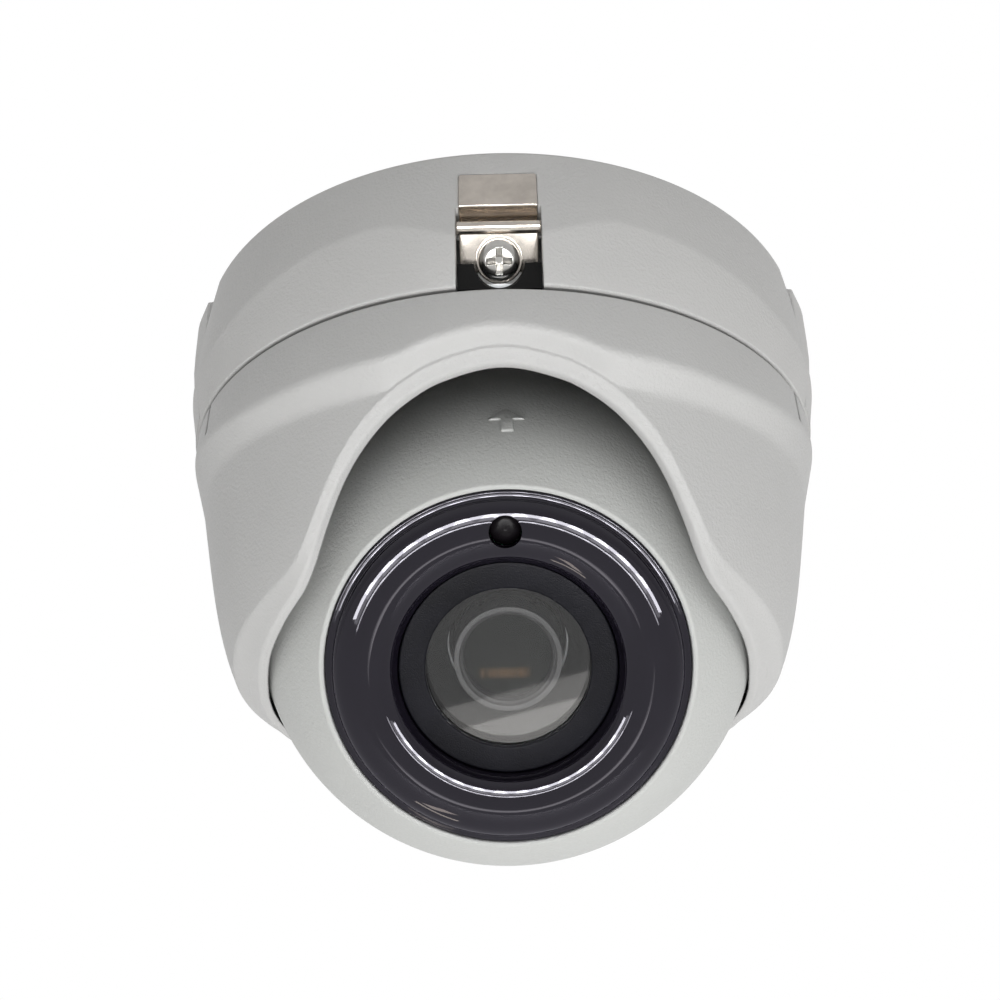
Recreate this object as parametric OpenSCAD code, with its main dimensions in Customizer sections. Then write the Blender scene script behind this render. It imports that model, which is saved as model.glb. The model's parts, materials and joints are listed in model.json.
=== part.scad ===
// Turret ("eyeball") security camera for a ceiling.
// Origin: centre of the ceiling face. +Z points up into the ceiling, and the camera hangs below.
// The lens looks towards -Y and down. All lengths are millimetres.

/* [Base] */
// Outer radius of the base
base_r = 55; // [54.8:0.1:55.4]
// Height of the base wall
base_h = 25.2; // [25:0.1:25.4]
// Thickness of the ceiling plate
plate_t = 3.5; // [3:0.1:4]
// Pitch circle diameter of the ceiling screw holes
screw_pcd = 76; // [70:1:80]
// Radius of each ceiling screw hole
screw_hole_r = 2.4; // [2:0.1:2.6]
// Radius of the cable bore in the grommet
cable_r = 6; // [4:0.5:8]

/* [Ball] */
// Outer radius of the ball
ball_r = 42; // [41.8:0.1:42]
// Wall thickness of the ball
ball_wall = 3; // [2.5:0.1:3]
// Depth of the ball's centre below the ceiling
ball_drop = 53; // [52.8:0.1:53.2]
// Angle of the lens below the horizon
lens_down = 40; // [35:1:60]
// Distance of the front rim from the ball's centre
front_d = 31.3; // [31.2:0.1:31.4]

/* [Optics] */
// Outer radius of the infrared window
window_r = 27.3; // [27.1:0.1:27.3]
// Outer radius of the lens collar
collar_r = 16.4; // [16:0.1:16.6]
// Radius of the clear opening over the lens
clear_r = 12.4; // [12:0.1:12.6]
// Radius of the lens barrel's head
barrel_r = 8.3; // [8:0.1:8.6]
// Radius of the light sensor's hole
light_hole_r = 2.4; // [2:0.1:2.6]

/* [Trim ring] */
// Outer radius of the trim ring's upper band
trim_r = 55.15; // [55:0.05:55.4]
// Lowest point of the trim ring below the ceiling
trim_low = 71.5; // [71:0.1:72]
// Top of the arch in front of the lens, below the ceiling
arch_top = 37; // [36.5:0.1:38]
// Half width of the arch
arch_w = 28.4; // [28:0.1:29]

/* [Hidden] */
$fn = 96;

paint = [0.74, 0.75, 0.73];
nickel = [0.66, 0.62, 0.57];
steel = [0.62, 0.63, 0.65];
black = [0.05, 0.05, 0.055];
rubber = [0.09, 0.09, 0.09];
nylon = [0.86, 0.85, 0.80];
board = [0.05, 0.26, 0.14];

gap = 0.05;                 // clearance between pieces that sit on each other
wall_in = 51.6;             // inner radius of the base wall
wall_bend = 13.0;           // depth at which the base wall starts to lean in
wall_bend_r = base_r + 1.1; // radius of the base wall there
wall_low_r = base_r - 0.4;  // radius of the base wall at its lower edge
grommet_seat = 11;          // radius of the hole for the grommet
gasket_in = 44;
gasket_out = 48;
gasket_t = 1.2;
hook_in = 49.2;             // inner radius of the hooks that carry the pan ring
hook_t = 1.2;
notch_x = 6.4;              // half width of the latch notch
notch_top = 14.2;           // depth at which the notch goes right through the wall
clasp_x = 5.9;              // half width of the clasp
clasp_t = 1;
clasp_face = 54.6;          // distance of the clasp's outer face from the axis
clasp_top = 4.8;
bend_z = 14.8;              // depth of the clasp's bend
latch_tilt = 45;            // angle of the latch screw below the horizon
latch_s = 4.6;              // screw's distance down the clasp's flange
tab_w = 19.5;               // half width of the raised tab on each side of the base
tab_top_r = 57.6;           // radius of the tab's face at the ceiling
scoop_x = 49.9;             // distance of the scoop beside the tab from the plane X = 0
scoop_turn = 13.4;          // angle of the scoop in plan
scoop_slope = 15;           // angle of the scoop's floor off the vertical
slot_a = 62;                // angle of the trim ring's small slots from the front

pan_flange_r = 50.8;
pan_disc_r = 48.6;
pan_in = 40;
pan_top = 22.2;
pan_step = 23.6;
pan_low = 25.75;
trim_top = 25.8;            // depth of the trim ring's upper edge
ledge_low = 28.3;           // underside of the trim ring's inner ledge
ledge_in = 47.4;
trim_wall = 2.3;
pan_screw_r = 45.6;         // radius at which the pan ring's screws lie
ball_gap = 0.5;             // clearance between the ball and the trim ring's lip
relief_gap = 1.5;           // clearance above the lip

yoke_in = ball_r + 0.6;
yoke_out = yoke_in + 1.3;
yoke_w = 5;                 // half width of the yoke's arms
eye_r = 5.5;
pivot_t = 1.1;               // thickness of the pivot brackets
pivot_w = 5;                 // half width of the pivot brackets
pin_r = 2;
neck_r = 8;
neck_end = 46;
bush_out = 9.5;

split = -6;                 // the plane where the two shells meet, along the lens axis
cavity_r = ball_r - ball_wall;
ledge_z = 25.5;             // underside of the front shell's window ledge
seat_z = 28.3;              // face that the window seal sits on
shell_screw_r = 34.4;       // radius at which the shell screws lie
shell_seat = -14;           // face that the shell screws' heads sit on
module_screw_r = 32.5;
rear_post_r = 22;
bracket_z = 14;
sensor_z = 4;
main_z = -9;

// ---- helpers ----

// Puts children in the ball's own frame: +Z along the lens axis, +Y to the top of the face.
module in_ball() { translate([0, 0, -ball_drop]) rotate([90 + lens_down, 0, 0]) children(); }

// A ring between two radii, standing on z0.
module ring(r_out, r_in, z0, h) {
    difference() {
        translate([0, 0, z0]) cylinder(r = r_out, h = h);
        translate([0, 0, z0 - 1]) cylinder(r = r_in, h = h + 2);
    }
}

// A rod along +Z from z0 to z1.
module rod(r, z0, z1) { translate([0, 0, z0]) cylinder(r = r, h = z1 - z0); }

// Children repeated at equal angles.
module around(n, start = 0) { for (i = [0 : n - 1]) rotate([0, 0, start + i * 360 / n]) children(); }

// A cross-recessed screw: the shank runs down from the origin, the head stands up from it.
module screw(shank_r, shank_l, head_r, head_h, $fn = 32) {
    difference() {
        union() {
            rod(shank_r, -shank_l, 0.01);
            rod(head_r, 0, head_h * 0.55);
            translate([0, 0, head_h * 0.55]) cylinder(r1 = head_r, r2 = head_r * 0.62, h = head_h * 0.45);
        }
        for (a = [0, 90]) rotate([0, 0, a])
            translate([-head_r * 0.5, -head_r * 0.11, head_h * 0.45]) cube([head_r, head_r * 0.22, head_h]);
    }
}

function mix(a, b, t) = a + (b - a) * t;

// ---- base ----

// Sector of the plan between two angles, used to keep part of a ring.
module sector(a0, a1, r, z0, h) {
    steps = 12;
    translate([0, 0, z0]) linear_extrude(height = h)
        polygon(concat([[0, 0]], [for (i = [0 : steps]) let (a = mix(a0, a1, i / steps)) r * [cos(a), sin(a)]]));
}

// The latch screw's frame: origin on the clasp's flange, +Z out along the screw.
module on_latch() {
    s = latch_s;
    translate([0, -clasp_face + s * sin(latch_tilt), -bend_z - s * cos(latch_tilt)])
        rotate([90 + latch_tilt, 0, 0]) children();
}

module mounting_base() {
    color(paint) difference() {
        union() {
            rotate_extrude() polygon([
                [0, 0], [base_r - 0.6, 0], [base_r, -0.6], [wall_bend_r, -wall_bend],
                [wall_low_r, -base_h + 0.6], [wall_low_r - 0.6, -base_h], [wall_in, -base_h],
                [wall_in, -plate_t], [0, -plate_t]]);
            intersection() {
                ring(wall_in + 0.5, hook_in, -base_h, hook_t);
                sector(-10, 190, 60, -base_h - 1, 4);
            }
            intersection() {
                on_latch() rod(4.5, -7, -clasp_t - gap);
                rod(wall_in + 0.5, -base_h, -plate_t);
            }
            around(3, 90) translate([screw_pcd / 2, 0, 0]) rod(5.5, -plate_t - 1.2, -plate_t + 0.5);
            for (sx = [-1, 1]) scale([sx, 1, 1]) side_tab();
        }
        rod(grommet_seat, -30, 5);
        ring(gasket_out, gasket_in, -gasket_t, 5);
        around(3, 90) translate([screw_pcd / 2, 0, 0]) rod(screw_hole_r, -10, 5);
        translate([-notch_x, -60, -base_h - 1]) cube([2 * notch_x, 60 - 49, base_h + 1 - notch_top]);
        translate([-notch_x, -60, -notch_top - 1])
            cube([2 * notch_x, 60 - clasp_face + clasp_t + gap, notch_top + 1 - clasp_top + 0.2]);
        on_latch() rod(2.6, -6, 0.5);
        for (sx = [-1, 1], sy = [-1, 1]) scale([sx, sy, 1]) side_scoop();
    }
}

// Raised tab on the +X side of the base, for prising the camera off its base.
module side_tab() {
    difference() {
        intersection() {
            translate([0, 0, -base_h + 0.6]) linear_extrude(height = base_h - 0.6) polygon([
                [48, -tab_w], [51.9, -tab_w], [56.2, -10.6], [56.9, 0], [56.2, 10.6], [51.9, tab_w],
                [48, tab_w]]);
            translate([0, 0, -base_h]) cylinder(r1 = base_r, r2 = tab_top_r, h = base_h);
        }
        rod(wall_in + 0.6, -base_h - 1, 1);
    }
}

// A sloping cut beside the tab, from the ceiling face down, in the quarter +X +Y.
module side_scoop() {
    translate([scoop_x, tab_w, 0]) rotate([0, -scoop_slope, scoop_turn]) translate([0, 0, -12])
        cube([10, 14, 14]);
}

module ceiling_gasket() {
    color(rubber) ring(gasket_out - gap, gasket_in + gap, -gasket_t + gap, gasket_t - gap);
}

module cable_grommet() {
    color(rubber) difference() {
        union() {
            rod(grommet_seat - gap, -plate_t - gap, -0.2);
            rod(grommet_seat + 2, -plate_t - 1.5, -plate_t - gap);
        }
        rod(cable_r, -10, 5);
    }
}

module latch_clasp() {
    flange = 6.6;
    c = cos(latch_tilt);
    s = sin(latch_tilt);
    t = clasp_t;
    y = -clasp_face;
    corner = t * tan(latch_tilt / 2);
    color(nickel) difference() {
        rotate([90, 0, 90]) translate([0, 0, -clasp_x]) linear_extrude(height = 2 * clasp_x) polygon([
            [y, -clasp_top], [y, -bend_z], [y + flange * s, -bend_z - flange * c],
            [y + flange * s + t * c, -bend_z - flange * c + t * s],
            [y + t, -bend_z + corner], [y + t, -clasp_top]]);
        on_latch() rod(1.6, -3, 3);
    }
}

module latch_screw() {
    color(steel) on_latch() {
        difference() {
            union() {
                rod(1.5, -5.6, 0.7);
                rod(3.1, 0.65, 1.7);
                intersection() {
                    rod(3.1, 1.69, 3);
                    translate([0, 0, -1.6]) sphere(r = 4.6);
                }
            }
            around(2) translate([-1.9, -0.4, 1.7]) cube([3.8, 0.8, 3]);
        }
    }
}

module latch_washer() { color(nickel) on_latch() ring(3.6, 1.56, gap, 0.55); }

module latch_insert() {
    color([0.72, 0.58, 0.30]) on_latch() difference() {
        rod(2.55, -5.9, -clasp_t - 0.3);
        rod(1.55, -8, 2);
    }
}

// Black block in the notch. Its lip carries the front of the pan ring.
module latch_block() {
    low = base_h - 0.2;
    color(black) difference() {
        translate([-notch_x + 0.15, -53.2, -low]) cube([2 * notch_x - 0.3, 3.9, low - 20.3]);
        rod(pan_flange_r + 0.45, -low + hook_t, 0);
        on_latch() rod(3.8, -3, 8);
    }
}

// ---- trim ring ----

// Distance from the main axis to a sphere round the ball's centre, at a height.
function sphere_at(r, z) = sqrt(max(0, r * r - (z + ball_drop) * (z + ball_drop)));

// Outer profile of the ring, from its upper edge down to its lower rim.
outer_profile = [
    [trim_r - 0.5, -trim_top], [trim_r, -trim_top - 0.5], [trim_r - 0.3, -34.5], [trim_r - 0.9, -36],
    [52.7, -38.3], [51.9, -40.2], [50.9, -45], [50.2, -49], [49.3, -53], [48.2, -57], [47, -61],
    [45.6, -65], [44.1, -68.6], [43.4, 0.8 - trim_low], [42.7, -trim_low]];

// Inner profile, from the lip that keeps the ball in to the ledge that the pan ring sits on.
inner_profile = concat(
    [for (z = [-trim_low + 0.1 : 0.7 : -68.4]) [sphere_at(ball_r + ball_gap, z), z]],
    [for (z = [-68.2 : 0.8 : -60.2]) [sphere_at(ball_r + relief_gap, z), z]],
    [[46, -58.6], [47.2, -53], [48.3, -48], [49.6, -41], [50.4, -39], [52.5, -36],
     [trim_r - trim_wall - 0.3, -ledge_low], [ledge_in, -ledge_low], [ledge_in, -trim_top]]);

// Front view of the opening for the lens, in X and Z: an arch whose feet run out into the lower rim.
arch_feet = [[30, -62.2], [31.6, -63.4], [33.8, -64.8], [36, -66.4], [38.6, -68.2], [41.2, -69.8],
             [44.2, -trim_low - 0.3], [60, -trim_low - 0.3]];
arch_side = concat(
    [for (i = [0 : 12]) let (a = 90 - i * 6.9) [arch_w * cos(a), -62 + (62 - arch_top) * sin(a)]],
    arch_feet);

module trim_ring() {
    side = len(arch_side);
    color(paint) difference() {
        union() {
            rotate_extrude() polygon(concat(outer_profile, inner_profile));
            intersection() {
                around(4, 45) translate([pan_screw_r, 0, 0]) rod(3, -ledge_low, -trim_top);
                rod(trim_r - 1, -ledge_low, -trim_top);
            }
        }
        rotate([90, 0, 0]) linear_extrude(height = 70) polygon(concat(
            arch_side, [[60, -80], [-60, -80]],
            [for (i = [side - 1 : -1 : 1]) [-arch_side[i][0], arch_side[i][1]]]));
        around(4, 45) translate([pan_screw_r, 0, 0]) rod(1.25, -40, 0);
        for (s = [-1, 1]) rotate([0, 0, s * slot_a]) translate([-0.6, -56.7, -31.5]) cube([1.2, 3, 8]);
    }
}

// ---- parts that turn with the trim ring ----

module pan_ring() {
    color(steel) difference() {
        union() {
            rod(pan_disc_r, -pan_low, -pan_step + 0.01);
            rod(pan_flange_r, -pan_step, -pan_top);
        }
        rod(pan_in, -40, 0);
        around(4, 45) translate([pan_screw_r, 0, 0]) {
            rod(1.35, -40, 0);
            rod(2.4, -pan_step + 0.2, 0);
        }
        for (sx = [-1, 1], sy = [-1, 1]) translate([sx * 42.3, sy * 3, 0]) rod(1.1, -40, -pan_top - 0.6);
    }
}

module pan_ring_screws() {
    color(steel) around(4, 45) translate([pan_screw_r, 0, -pan_step + 0.25]) screw(1.2, 4, 2.2, 1.1);
}

// Strip that hangs from the pan ring and carries one end of the tilt axis.
module pivot_bracket(side) {
    face = yoke_out + 0.6;
    foot = 39.6;
    color(steel) mirror([side > 0 ? 0 : 1, 0, 0]) difference() {
        union() {
            translate([face, -pivot_w, -ball_drop])
                cube([pivot_t, 2 * pivot_w, ball_drop - pan_low - gap]);
            translate([face, 0, -ball_drop]) rotate([0, 90, 0]) rod(pivot_w, 0, pivot_t);
            translate([foot, -pivot_w, -pan_low - gap - pivot_t])
                cube([face + pivot_t - foot, 2 * pivot_w, pivot_t]);
        }
        translate([face, 0, -ball_drop]) rotate([0, 90, 0]) rod(pin_r + 0.02, -2, 4);
        for (sy = [-1, 1]) translate([42.3, sy * 3, 0]) rod(1.2, -40, 0);
    }
}

module bracket_screws() {
    color(steel) for (sx = [-1, 1], sy = [-1, 1])
        translate([sx * 42.3, sy * 3, -pan_low - pivot_t - 2 * gap]) rotate([180, 0, 0]) screw(1.05, 3.7, 1.8, 1.1);
}

module pivot_pins() {
    color(steel) for (sx = [-1, 1]) translate([0, 0, -ball_drop]) rotate([0, sx * 90, 0])
        rod(pin_r, ball_r + 0.4, yoke_out + 0.6 + pivot_t);
}

module pivot_washers() {
    color(nylon) for (sx = [-1, 1]) translate([0, 0, -ball_drop]) rotate([0, sx * 90, 0])
        ring(4.6, pin_r + 0.1, yoke_out + 0.15, 0.4);
}

// Soft seat that the ball turns against, bonded inside the trim ring.
module ball_seat_ring() {
    color(rubber) intersection() {
        difference() {
            translate([0, 0, -ball_drop]) sphere(r = ball_r + 1.3);
            translate([0, 0, -ball_drop]) sphere(r = ball_r + 0.4);
        }
        translate([0, 0, -65.4]) sector(-18, 198, 60, 0, 3.4);
    }
}

// ---- tilting yoke ----

module tilt_yoke() {
    color(steel) in_ball() difference() {
        union() {
            difference() {
                rotate([90, 0, 0]) ring(yoke_out, yoke_in, -yoke_w, 2 * yoke_w);
                translate([-60, -60, 0]) cube([120, 120, 60]);
            }
            rod(15, -yoke_out, -yoke_in);
            for (sx = [-1, 1]) rotate([0, sx * 90, 0]) rod(eye_r, yoke_in, yoke_out);
        }
        rod(bush_out + gap, -60, -30);
        for (sx = [-1, 1]) rotate([0, sx * 90, 0]) rod(pin_r + 0.05, 30, 60);
    }
}

module neck_bush() { color(nylon) in_ball() ring(bush_out, neck_r + 0.06, -yoke_out - 0.3, 2.1); }

// ---- ball ----

module at_shell_screws() { around(3, 90) translate([shell_screw_r, 0, 0]) children(); }
module at_module_screws() { around(3, 30) translate([module_screw_r, 0, 0]) children(); }
module at_rear_posts() { around(3, 30) translate([rear_post_r, 0, 0]) children(); }

module ball_front_shell() {
    color(paint) in_ball() difference() {
        union() {
            difference() {
                intersection() {
                    sphere(r = ball_r);
                    rod(50, split, front_d);
                }
                intersection() {
                    sphere(r = cavity_r);
                    rod(50, split - 1, ledge_z);
                }
            }
            intersection() {
                sphere(r = cavity_r + 0.5);
                union() {
                    at_shell_screws() rod(4, split, 12);
                    at_module_screws() rod(3.2, bracket_z + 2.05, 24);
                }
            }
        }
        rod(24.9, 20, 50);
        rod(window_r + 0.1, seat_z, 50);
        at_shell_screws() rod(1.35, split - 1, 9);
        at_module_screws() rod(1.15, 10, 21);
        o_ring_groove();
        around(3, 90) translate([26.3, 0, 0]) rod(0.95, ledge_z - 1, ledge_z + 2);
        up_arrow();
    }
}

// Arrow sunk into the shell above the window, to show which way is up.
module up_arrow() {
    rotate([-62, 0, 0]) translate([0, 0, ball_r - 0.3]) linear_extrude(height = 2)
        polygon([[-2.6, 0.2], [0, 3.2], [2.6, 0.2], [0.9, 0.2], [0.9, -3], [-0.9, -3], [-0.9, 0.2]]);
}

module o_ring_groove() { translate([0, 0, split]) rotate_extrude() translate([40.3, 0]) circle(r = 0.82, $fn = 32); }

module ball_o_ring() {
    color(rubber) in_ball() translate([0, 0, split]) rotate_extrude() translate([40.3, 0]) circle(r = 0.8, $fn = 32);
}

module ball_rear_shell() {
    color(paint) in_ball() difference() {
        union() {
            difference() {
                intersection() {
                    sphere(r = ball_r);
                    rod(50, -50, split - 0.03);
                }
                sphere(r = cavity_r);
            }
            rod(neck_r, -neck_end, -38);
            intersection() {
                sphere(r = cavity_r + 0.5);
                union() {
                    at_shell_screws() rod(4, -40, split - 0.03);
                    at_rear_posts() rod(3, -40, main_z - gap);
                }
            }
        }
        rod(4.3, -50, -30);
        at_shell_screws() {
            rod(1.7, -40, 0);
            rod(3.2, -50, shell_seat);
        }
        at_rear_posts() rod(1.15, main_z - 8, 0);
        o_ring_groove();
        ring(neck_r + 1, neck_r - 0.8, -45.6, 0.7);
    }
}

module shell_screws() {
    color(steel) in_ball() at_shell_screws() translate([0, 0, shell_seat - gap]) rotate([180, 0, 0])
        screw(1.3, 22, 2.9, 2);
}

// The dark window over the infrared lamps: a shallow bulging ring with a hole for the light sensor.
module ir_window() {
    base = seat_z + 0.65;
    lip_in = collar_r + 0.1;
    bulge_r = 21.6;
    half = 4.6;
    top = 33.5;
    n = 14;
    function bulge(k, r, h) = [for (i = [0 : n]) let (a = 180 * (k ? i : n - i) / n)
        [bulge_r + r * cos(a), mix(31.1, h, sin(a))]];
    color([0.07, 0.06, 0.08, 0.9]) in_ball() difference() {
        rotate_extrude() polygon(concat(
            [[window_r, base], [window_r, 30.6], [window_r - 0.9, 31.3]],
            bulge(true, half, top),
            [[lip_in, 30.4], [lip_in, base], [lip_in + 1.6, base]],
            [for (p = bulge(false, half - 1.5, top - 1.5)) [p[0], p[1] - 0.5]],
            [[window_r - 2.6, base]]));
        translate([0, bulge_r, 20]) rod(light_hole_r, 0, 30);
    }
}

module window_seal() { color(rubber) in_ball() ring(window_r, 25.1, seat_z + gap, 0.55); }

module lens_collar() {
    color(black) in_ball() difference() {
        rotate_extrude() polygon([
            [20, 16 + gap], [20, 18], [collar_r, 18], [collar_r, 29.7], [collar_r - 0.4, 30.1],
            [clear_r + 0.3, 30.1], [clear_r, 29.8], [clear_r, 29.1], [13.6, 29.1], [13.6, 16 + gap]]);
        around(3, 90) translate([18.2, 0, 0]) rod(1.1, 10, 20);
    }
}

module cover_glass() { color([0.85, 0.9, 0.92, 0.35]) in_ball() rod(13.5, 27.6, 29.05); }

module glass_retainer() {
    color(black) in_ball() rotate_extrude() polygon([
        [13.5, 17], [13.5, 27.5], [12.6, 27.5], [11.6, 24], [9.6, 20.5], [9.6, 17]]);
}

module module_bracket() {
    color([0.60, 0.61, 0.62]) in_ball() difference() {
        rod(35, bracket_z, bracket_z + 2);
        rod(9.4, 0, 30);
        at_module_screws() rod(1.5, 0, 30);
        around(3, 90) translate([18.2, 0, 0]) rod(1.05, 0, 30);
        around(4, 45) translate([20.5, 0, 0]) rod(1.05, 0, 30);
        for (a = [90, 210, 330]) rotate([0, 0, a]) translate([30, 0, 0]) rod(3, 0, 30);
    }
}

module module_screws() {
    color(steel) in_ball() at_module_screws() translate([0, 0, bracket_z - gap]) rotate([180, 0, 0])
        screw(1.1, 6, 2.2, 1.4);
}

module ir_board() {
    color(board) in_ball() difference() {
        ring(28, collar_r + 0.6, ledge_z - 1.25, 1.2);
        around(3, 90) translate([26.3, 0, 0]) rod(1, 0, 40);
    }
}

module ir_board_screws() {
    color(steel) in_ball() around(3, 90) translate([26.3, 0, ledge_z - 1.25 - gap]) rotate([180, 0, 0])
        screw(0.9, 2.6, 1.6, 0.9);
}

// Two infrared emitters: a square package with a small dome on it.
module ir_leds() {
    color([0.85, 0.82, 0.55]) in_ball() for (a = [0, 180]) rotate([0, 0, a]) translate([21, 0, ledge_z]) {
        translate([-2.6, -2.6, 0]) cube([5.2, 5.2, 1]);
        intersection() {
            rod(2.2, 0.99, 3);
            translate([0, 0, -0.2]) sphere(r = 2.6);
        }
    }
}

module light_sensor() {
    color([0.12, 0.11, 0.13]) in_ball() translate([0, 21.6, ledge_z]) {
        rod(light_hole_r - 0.1, 0, 5.4);
        translate([0, 0, 5.39]) intersection() {
            rod(light_hole_r - 0.2, 0, 3);
            translate([0, 0, -4]) sphere(r = 4.7);
        }
    }
}

module lens_barrel() {
    color(black) in_ball() rotate_extrude() polygon([
        [6, 9], [6, 21], [barrel_r, 21], [barrel_r, 25.1], [barrel_r - 0.5, 25.6], [7, 25.6], [6.8, 25.4],
        [6.8, 22], [5, 22], [5, 9]]);
}

module front_lens() {
    color([0.5, 0.55, 0.7, 0.4]) in_ball() intersection() {
        rod(6.7, 22.05, 26);
        translate([0, 0, 12.1]) sphere(r = 13);
    }
}

module rear_lens() {
    color([0.5, 0.55, 0.7, 0.4]) in_ball() intersection() {
        rod(4.9, 9.6, 14);
        translate([0, 0, 2]) sphere(r = 10);
    }
}

module ir_cut_filter() { color([0.7, 0.4, 0.45, 0.5]) in_ball() translate([-4, -4, 7.5]) cube([8, 8, 0.6]); }

module lens_lock_ring() {
    color(black) in_ball() difference() {
        ring(8.6, 6.05, 17.05, 1.9);
        around(6) translate([8.6, 0, 16]) cylinder(r = 0.7, h = 4, $fn = 24);
    }
}

module lens_holder() {
    color([0.10, 0.10, 0.11]) in_ball() difference() {
        union() {
            rod(8.8, 7, 17);
            translate([-10, -10, 5.25]) cube([20, 20, 1.9]);
        }
        rod(6.05, 8.2, 20);
        translate([-5.5, -5.5, 0]) cube([11, 11, 8.3]);
    }
}

module image_sensor() {
    color([0.25, 0.28, 0.32]) in_ball() {
        translate([-4.6, -4, sensor_z + 1.2 + gap]) cube([9.2, 8, 1]);
        translate([-3.4, -2.4, sensor_z + 2.2 + gap - 0.01]) cube([6.8, 4.8, 0.35]);
    }
}

module sensor_board() {
    color(board) in_ball() difference() {
        translate([-18, -18, sensor_z]) cube([36, 36, 1.2]);
        around(4, 45) translate([20.5, 0, 0]) rod(1.1, 0, 10);
    }
}

module sensor_standoffs() {
    color([0.72, 0.58, 0.30]) in_ball() around(4, 45) translate([20.5, 0, 0]) difference() {
        translate([0, 0, sensor_z + 1.25]) cylinder(r = 2.4, h = bracket_z - gap - sensor_z - 1.25, $fn = 6);
        rod(1.02, sensor_z, bracket_z + 1);
    }
}

module sensor_board_screws() {
    color(steel) in_ball() around(4, 45) translate([20.5, 0, sensor_z - gap]) rotate([180, 0, 0])
        screw(0.95, 5.5, 1.8, 1.2);
}

module main_board() {
    color(board) in_ball() difference() {
        rod(26.2, main_z, main_z + 1.2);
        at_rear_posts() rod(1.35, -20, 20);
    }
}

module main_board_screws() {
    color(steel) in_ball() at_rear_posts() translate([0, 0, main_z + 1.2 + gap]) screw(1.1, 6.5, 2.1, 1.4);
}

module main_chips() {
    top = main_z + 1.2 + gap;
    color([0.08, 0.08, 0.09]) in_ball() {
        translate([-5.5, 2, top]) cube([11, 11, 1.3]);
        translate([-14, -9, top]) cube([6, 5, 1.1]);
        translate([8, -6, top]) cube([5, 8, 2.2]);
        translate([-16, 4, top]) rod(2.4, 0, 4.6);
        translate([15, 8, top]) rod(2, 0, 4);
        translate([-7, -10, main_z - gap - 2]) cube([9, 7, 2]);
        translate([7, 5, main_z - gap - 3]) cube([6, 6, 3]);
    }
}

module board_connectors() {
    color(nylon) in_ball() {
        translate([-7, -17.5, main_z + 1.2 + gap]) cube([14, 4, 2]);
        translate([-7, -17.5, sensor_z - gap - 2]) cube([14, 4, 2]);
        translate([-5, 14, main_z - gap - 4]) cube([10, 4, 4]);
    }
}

module ribbon_cable() {
    color([0.80, 0.62, 0.30]) in_ball()
        translate([-6, -15.7, main_z + 3.2 + 2 * gap]) cube([12, 0.4, sensor_z - main_z - 5.2 - 4 * gap]);
}

module cable_gland() {
    color(rubber) in_ball() difference() {
        union() {
            rod(4.2, -neck_end, -36.4);
            rod(6.4, -neck_end - 0.8, -neck_end - gap);
            rod(4.2, -neck_end - 0.1, -neck_end + 0.1);
        }
        rod(2.6, -60, -20);
    }
}

module gland_nut() {
    color([0.72, 0.58, 0.30]) in_ball() difference() {
        translate([0, 0, -37.9]) cylinder(r = 6.8, h = 2.4, $fn = 6);
        rod(4.3, -50, -20);
    }
}

module neck_clip() {
    color(steel) in_ball() difference() {
        ring(neck_r + 2, neck_r - 0.75, -45.55, 0.6);
        translate([-2, 0, -50]) cube([4, 20, 10]);
    }
}

mounting_base();
ceiling_gasket();
cable_grommet();
latch_clasp();
latch_screw();
latch_washer();
latch_block();
latch_insert();
trim_ring();
pan_ring();
pan_ring_screws();
pivot_bracket(-1);  // pivot_bracket_left
pivot_bracket(1);  // pivot_bracket_right
bracket_screws();
pivot_pins();
pivot_washers();
ball_seat_ring();
tilt_yoke();
neck_bush();
ball_front_shell();
ball_rear_shell();
ball_o_ring();
shell_screws();
ir_window();
window_seal();
lens_collar();
cover_glass();
glass_retainer();
module_bracket();
module_screws();
ir_board();
ir_board_screws();
ir_leds();
light_sensor();
lens_barrel();
front_lens();
rear_lens();
ir_cut_filter();
lens_lock_ring();
lens_holder();
image_sensor();
sensor_board();
sensor_standoffs();
sensor_board_screws();
main_board();
main_board_screws();
main_chips();
board_connectors();
ribbon_cable();
cable_gland();
gland_nut();
neck_clip();
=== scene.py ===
"""Looks of a ceiling turret camera: painted housing, latch, ball, infrared window and lens.

Everything is in metres in the row frame. Sizes in the classes are in millimetres.
"""

import json
import logging
import math
from dataclasses import dataclass, field
from enum import Enum
from typing import Callable, Iterable, Optional, Sequence

import bmesh
import bpy
from mathutils import Matrix, Vector


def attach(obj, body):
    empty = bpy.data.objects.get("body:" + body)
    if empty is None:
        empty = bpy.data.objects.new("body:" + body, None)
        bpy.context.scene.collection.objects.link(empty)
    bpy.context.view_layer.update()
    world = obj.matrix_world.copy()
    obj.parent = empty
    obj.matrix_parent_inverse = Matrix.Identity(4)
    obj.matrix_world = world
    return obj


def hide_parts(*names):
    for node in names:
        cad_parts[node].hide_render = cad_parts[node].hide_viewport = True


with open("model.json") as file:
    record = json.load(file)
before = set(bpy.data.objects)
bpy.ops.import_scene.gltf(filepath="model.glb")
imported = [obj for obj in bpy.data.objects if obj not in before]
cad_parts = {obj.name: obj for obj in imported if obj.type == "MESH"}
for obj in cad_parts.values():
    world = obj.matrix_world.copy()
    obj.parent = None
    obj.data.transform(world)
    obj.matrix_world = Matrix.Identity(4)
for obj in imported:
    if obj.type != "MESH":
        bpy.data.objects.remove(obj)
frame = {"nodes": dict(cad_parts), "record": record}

LOG = logging.getLogger("turret_camera")
MM = 0.001
BALL_DROP = 53.0
BALL_R = 42.0
LENS_DOWN = 40.0
# The latch's flange leans LATCH_LEAN degrees out from its bend (y, z); the screw sits LATCH_REACH along it.
LATCH_BEND = (-54.6, -14.8)
LATCH_REACH = 4.6
LATCH_LEAN = 45.0
TAU = 2 * math.pi

Point2 = tuple[float, float]


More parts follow.
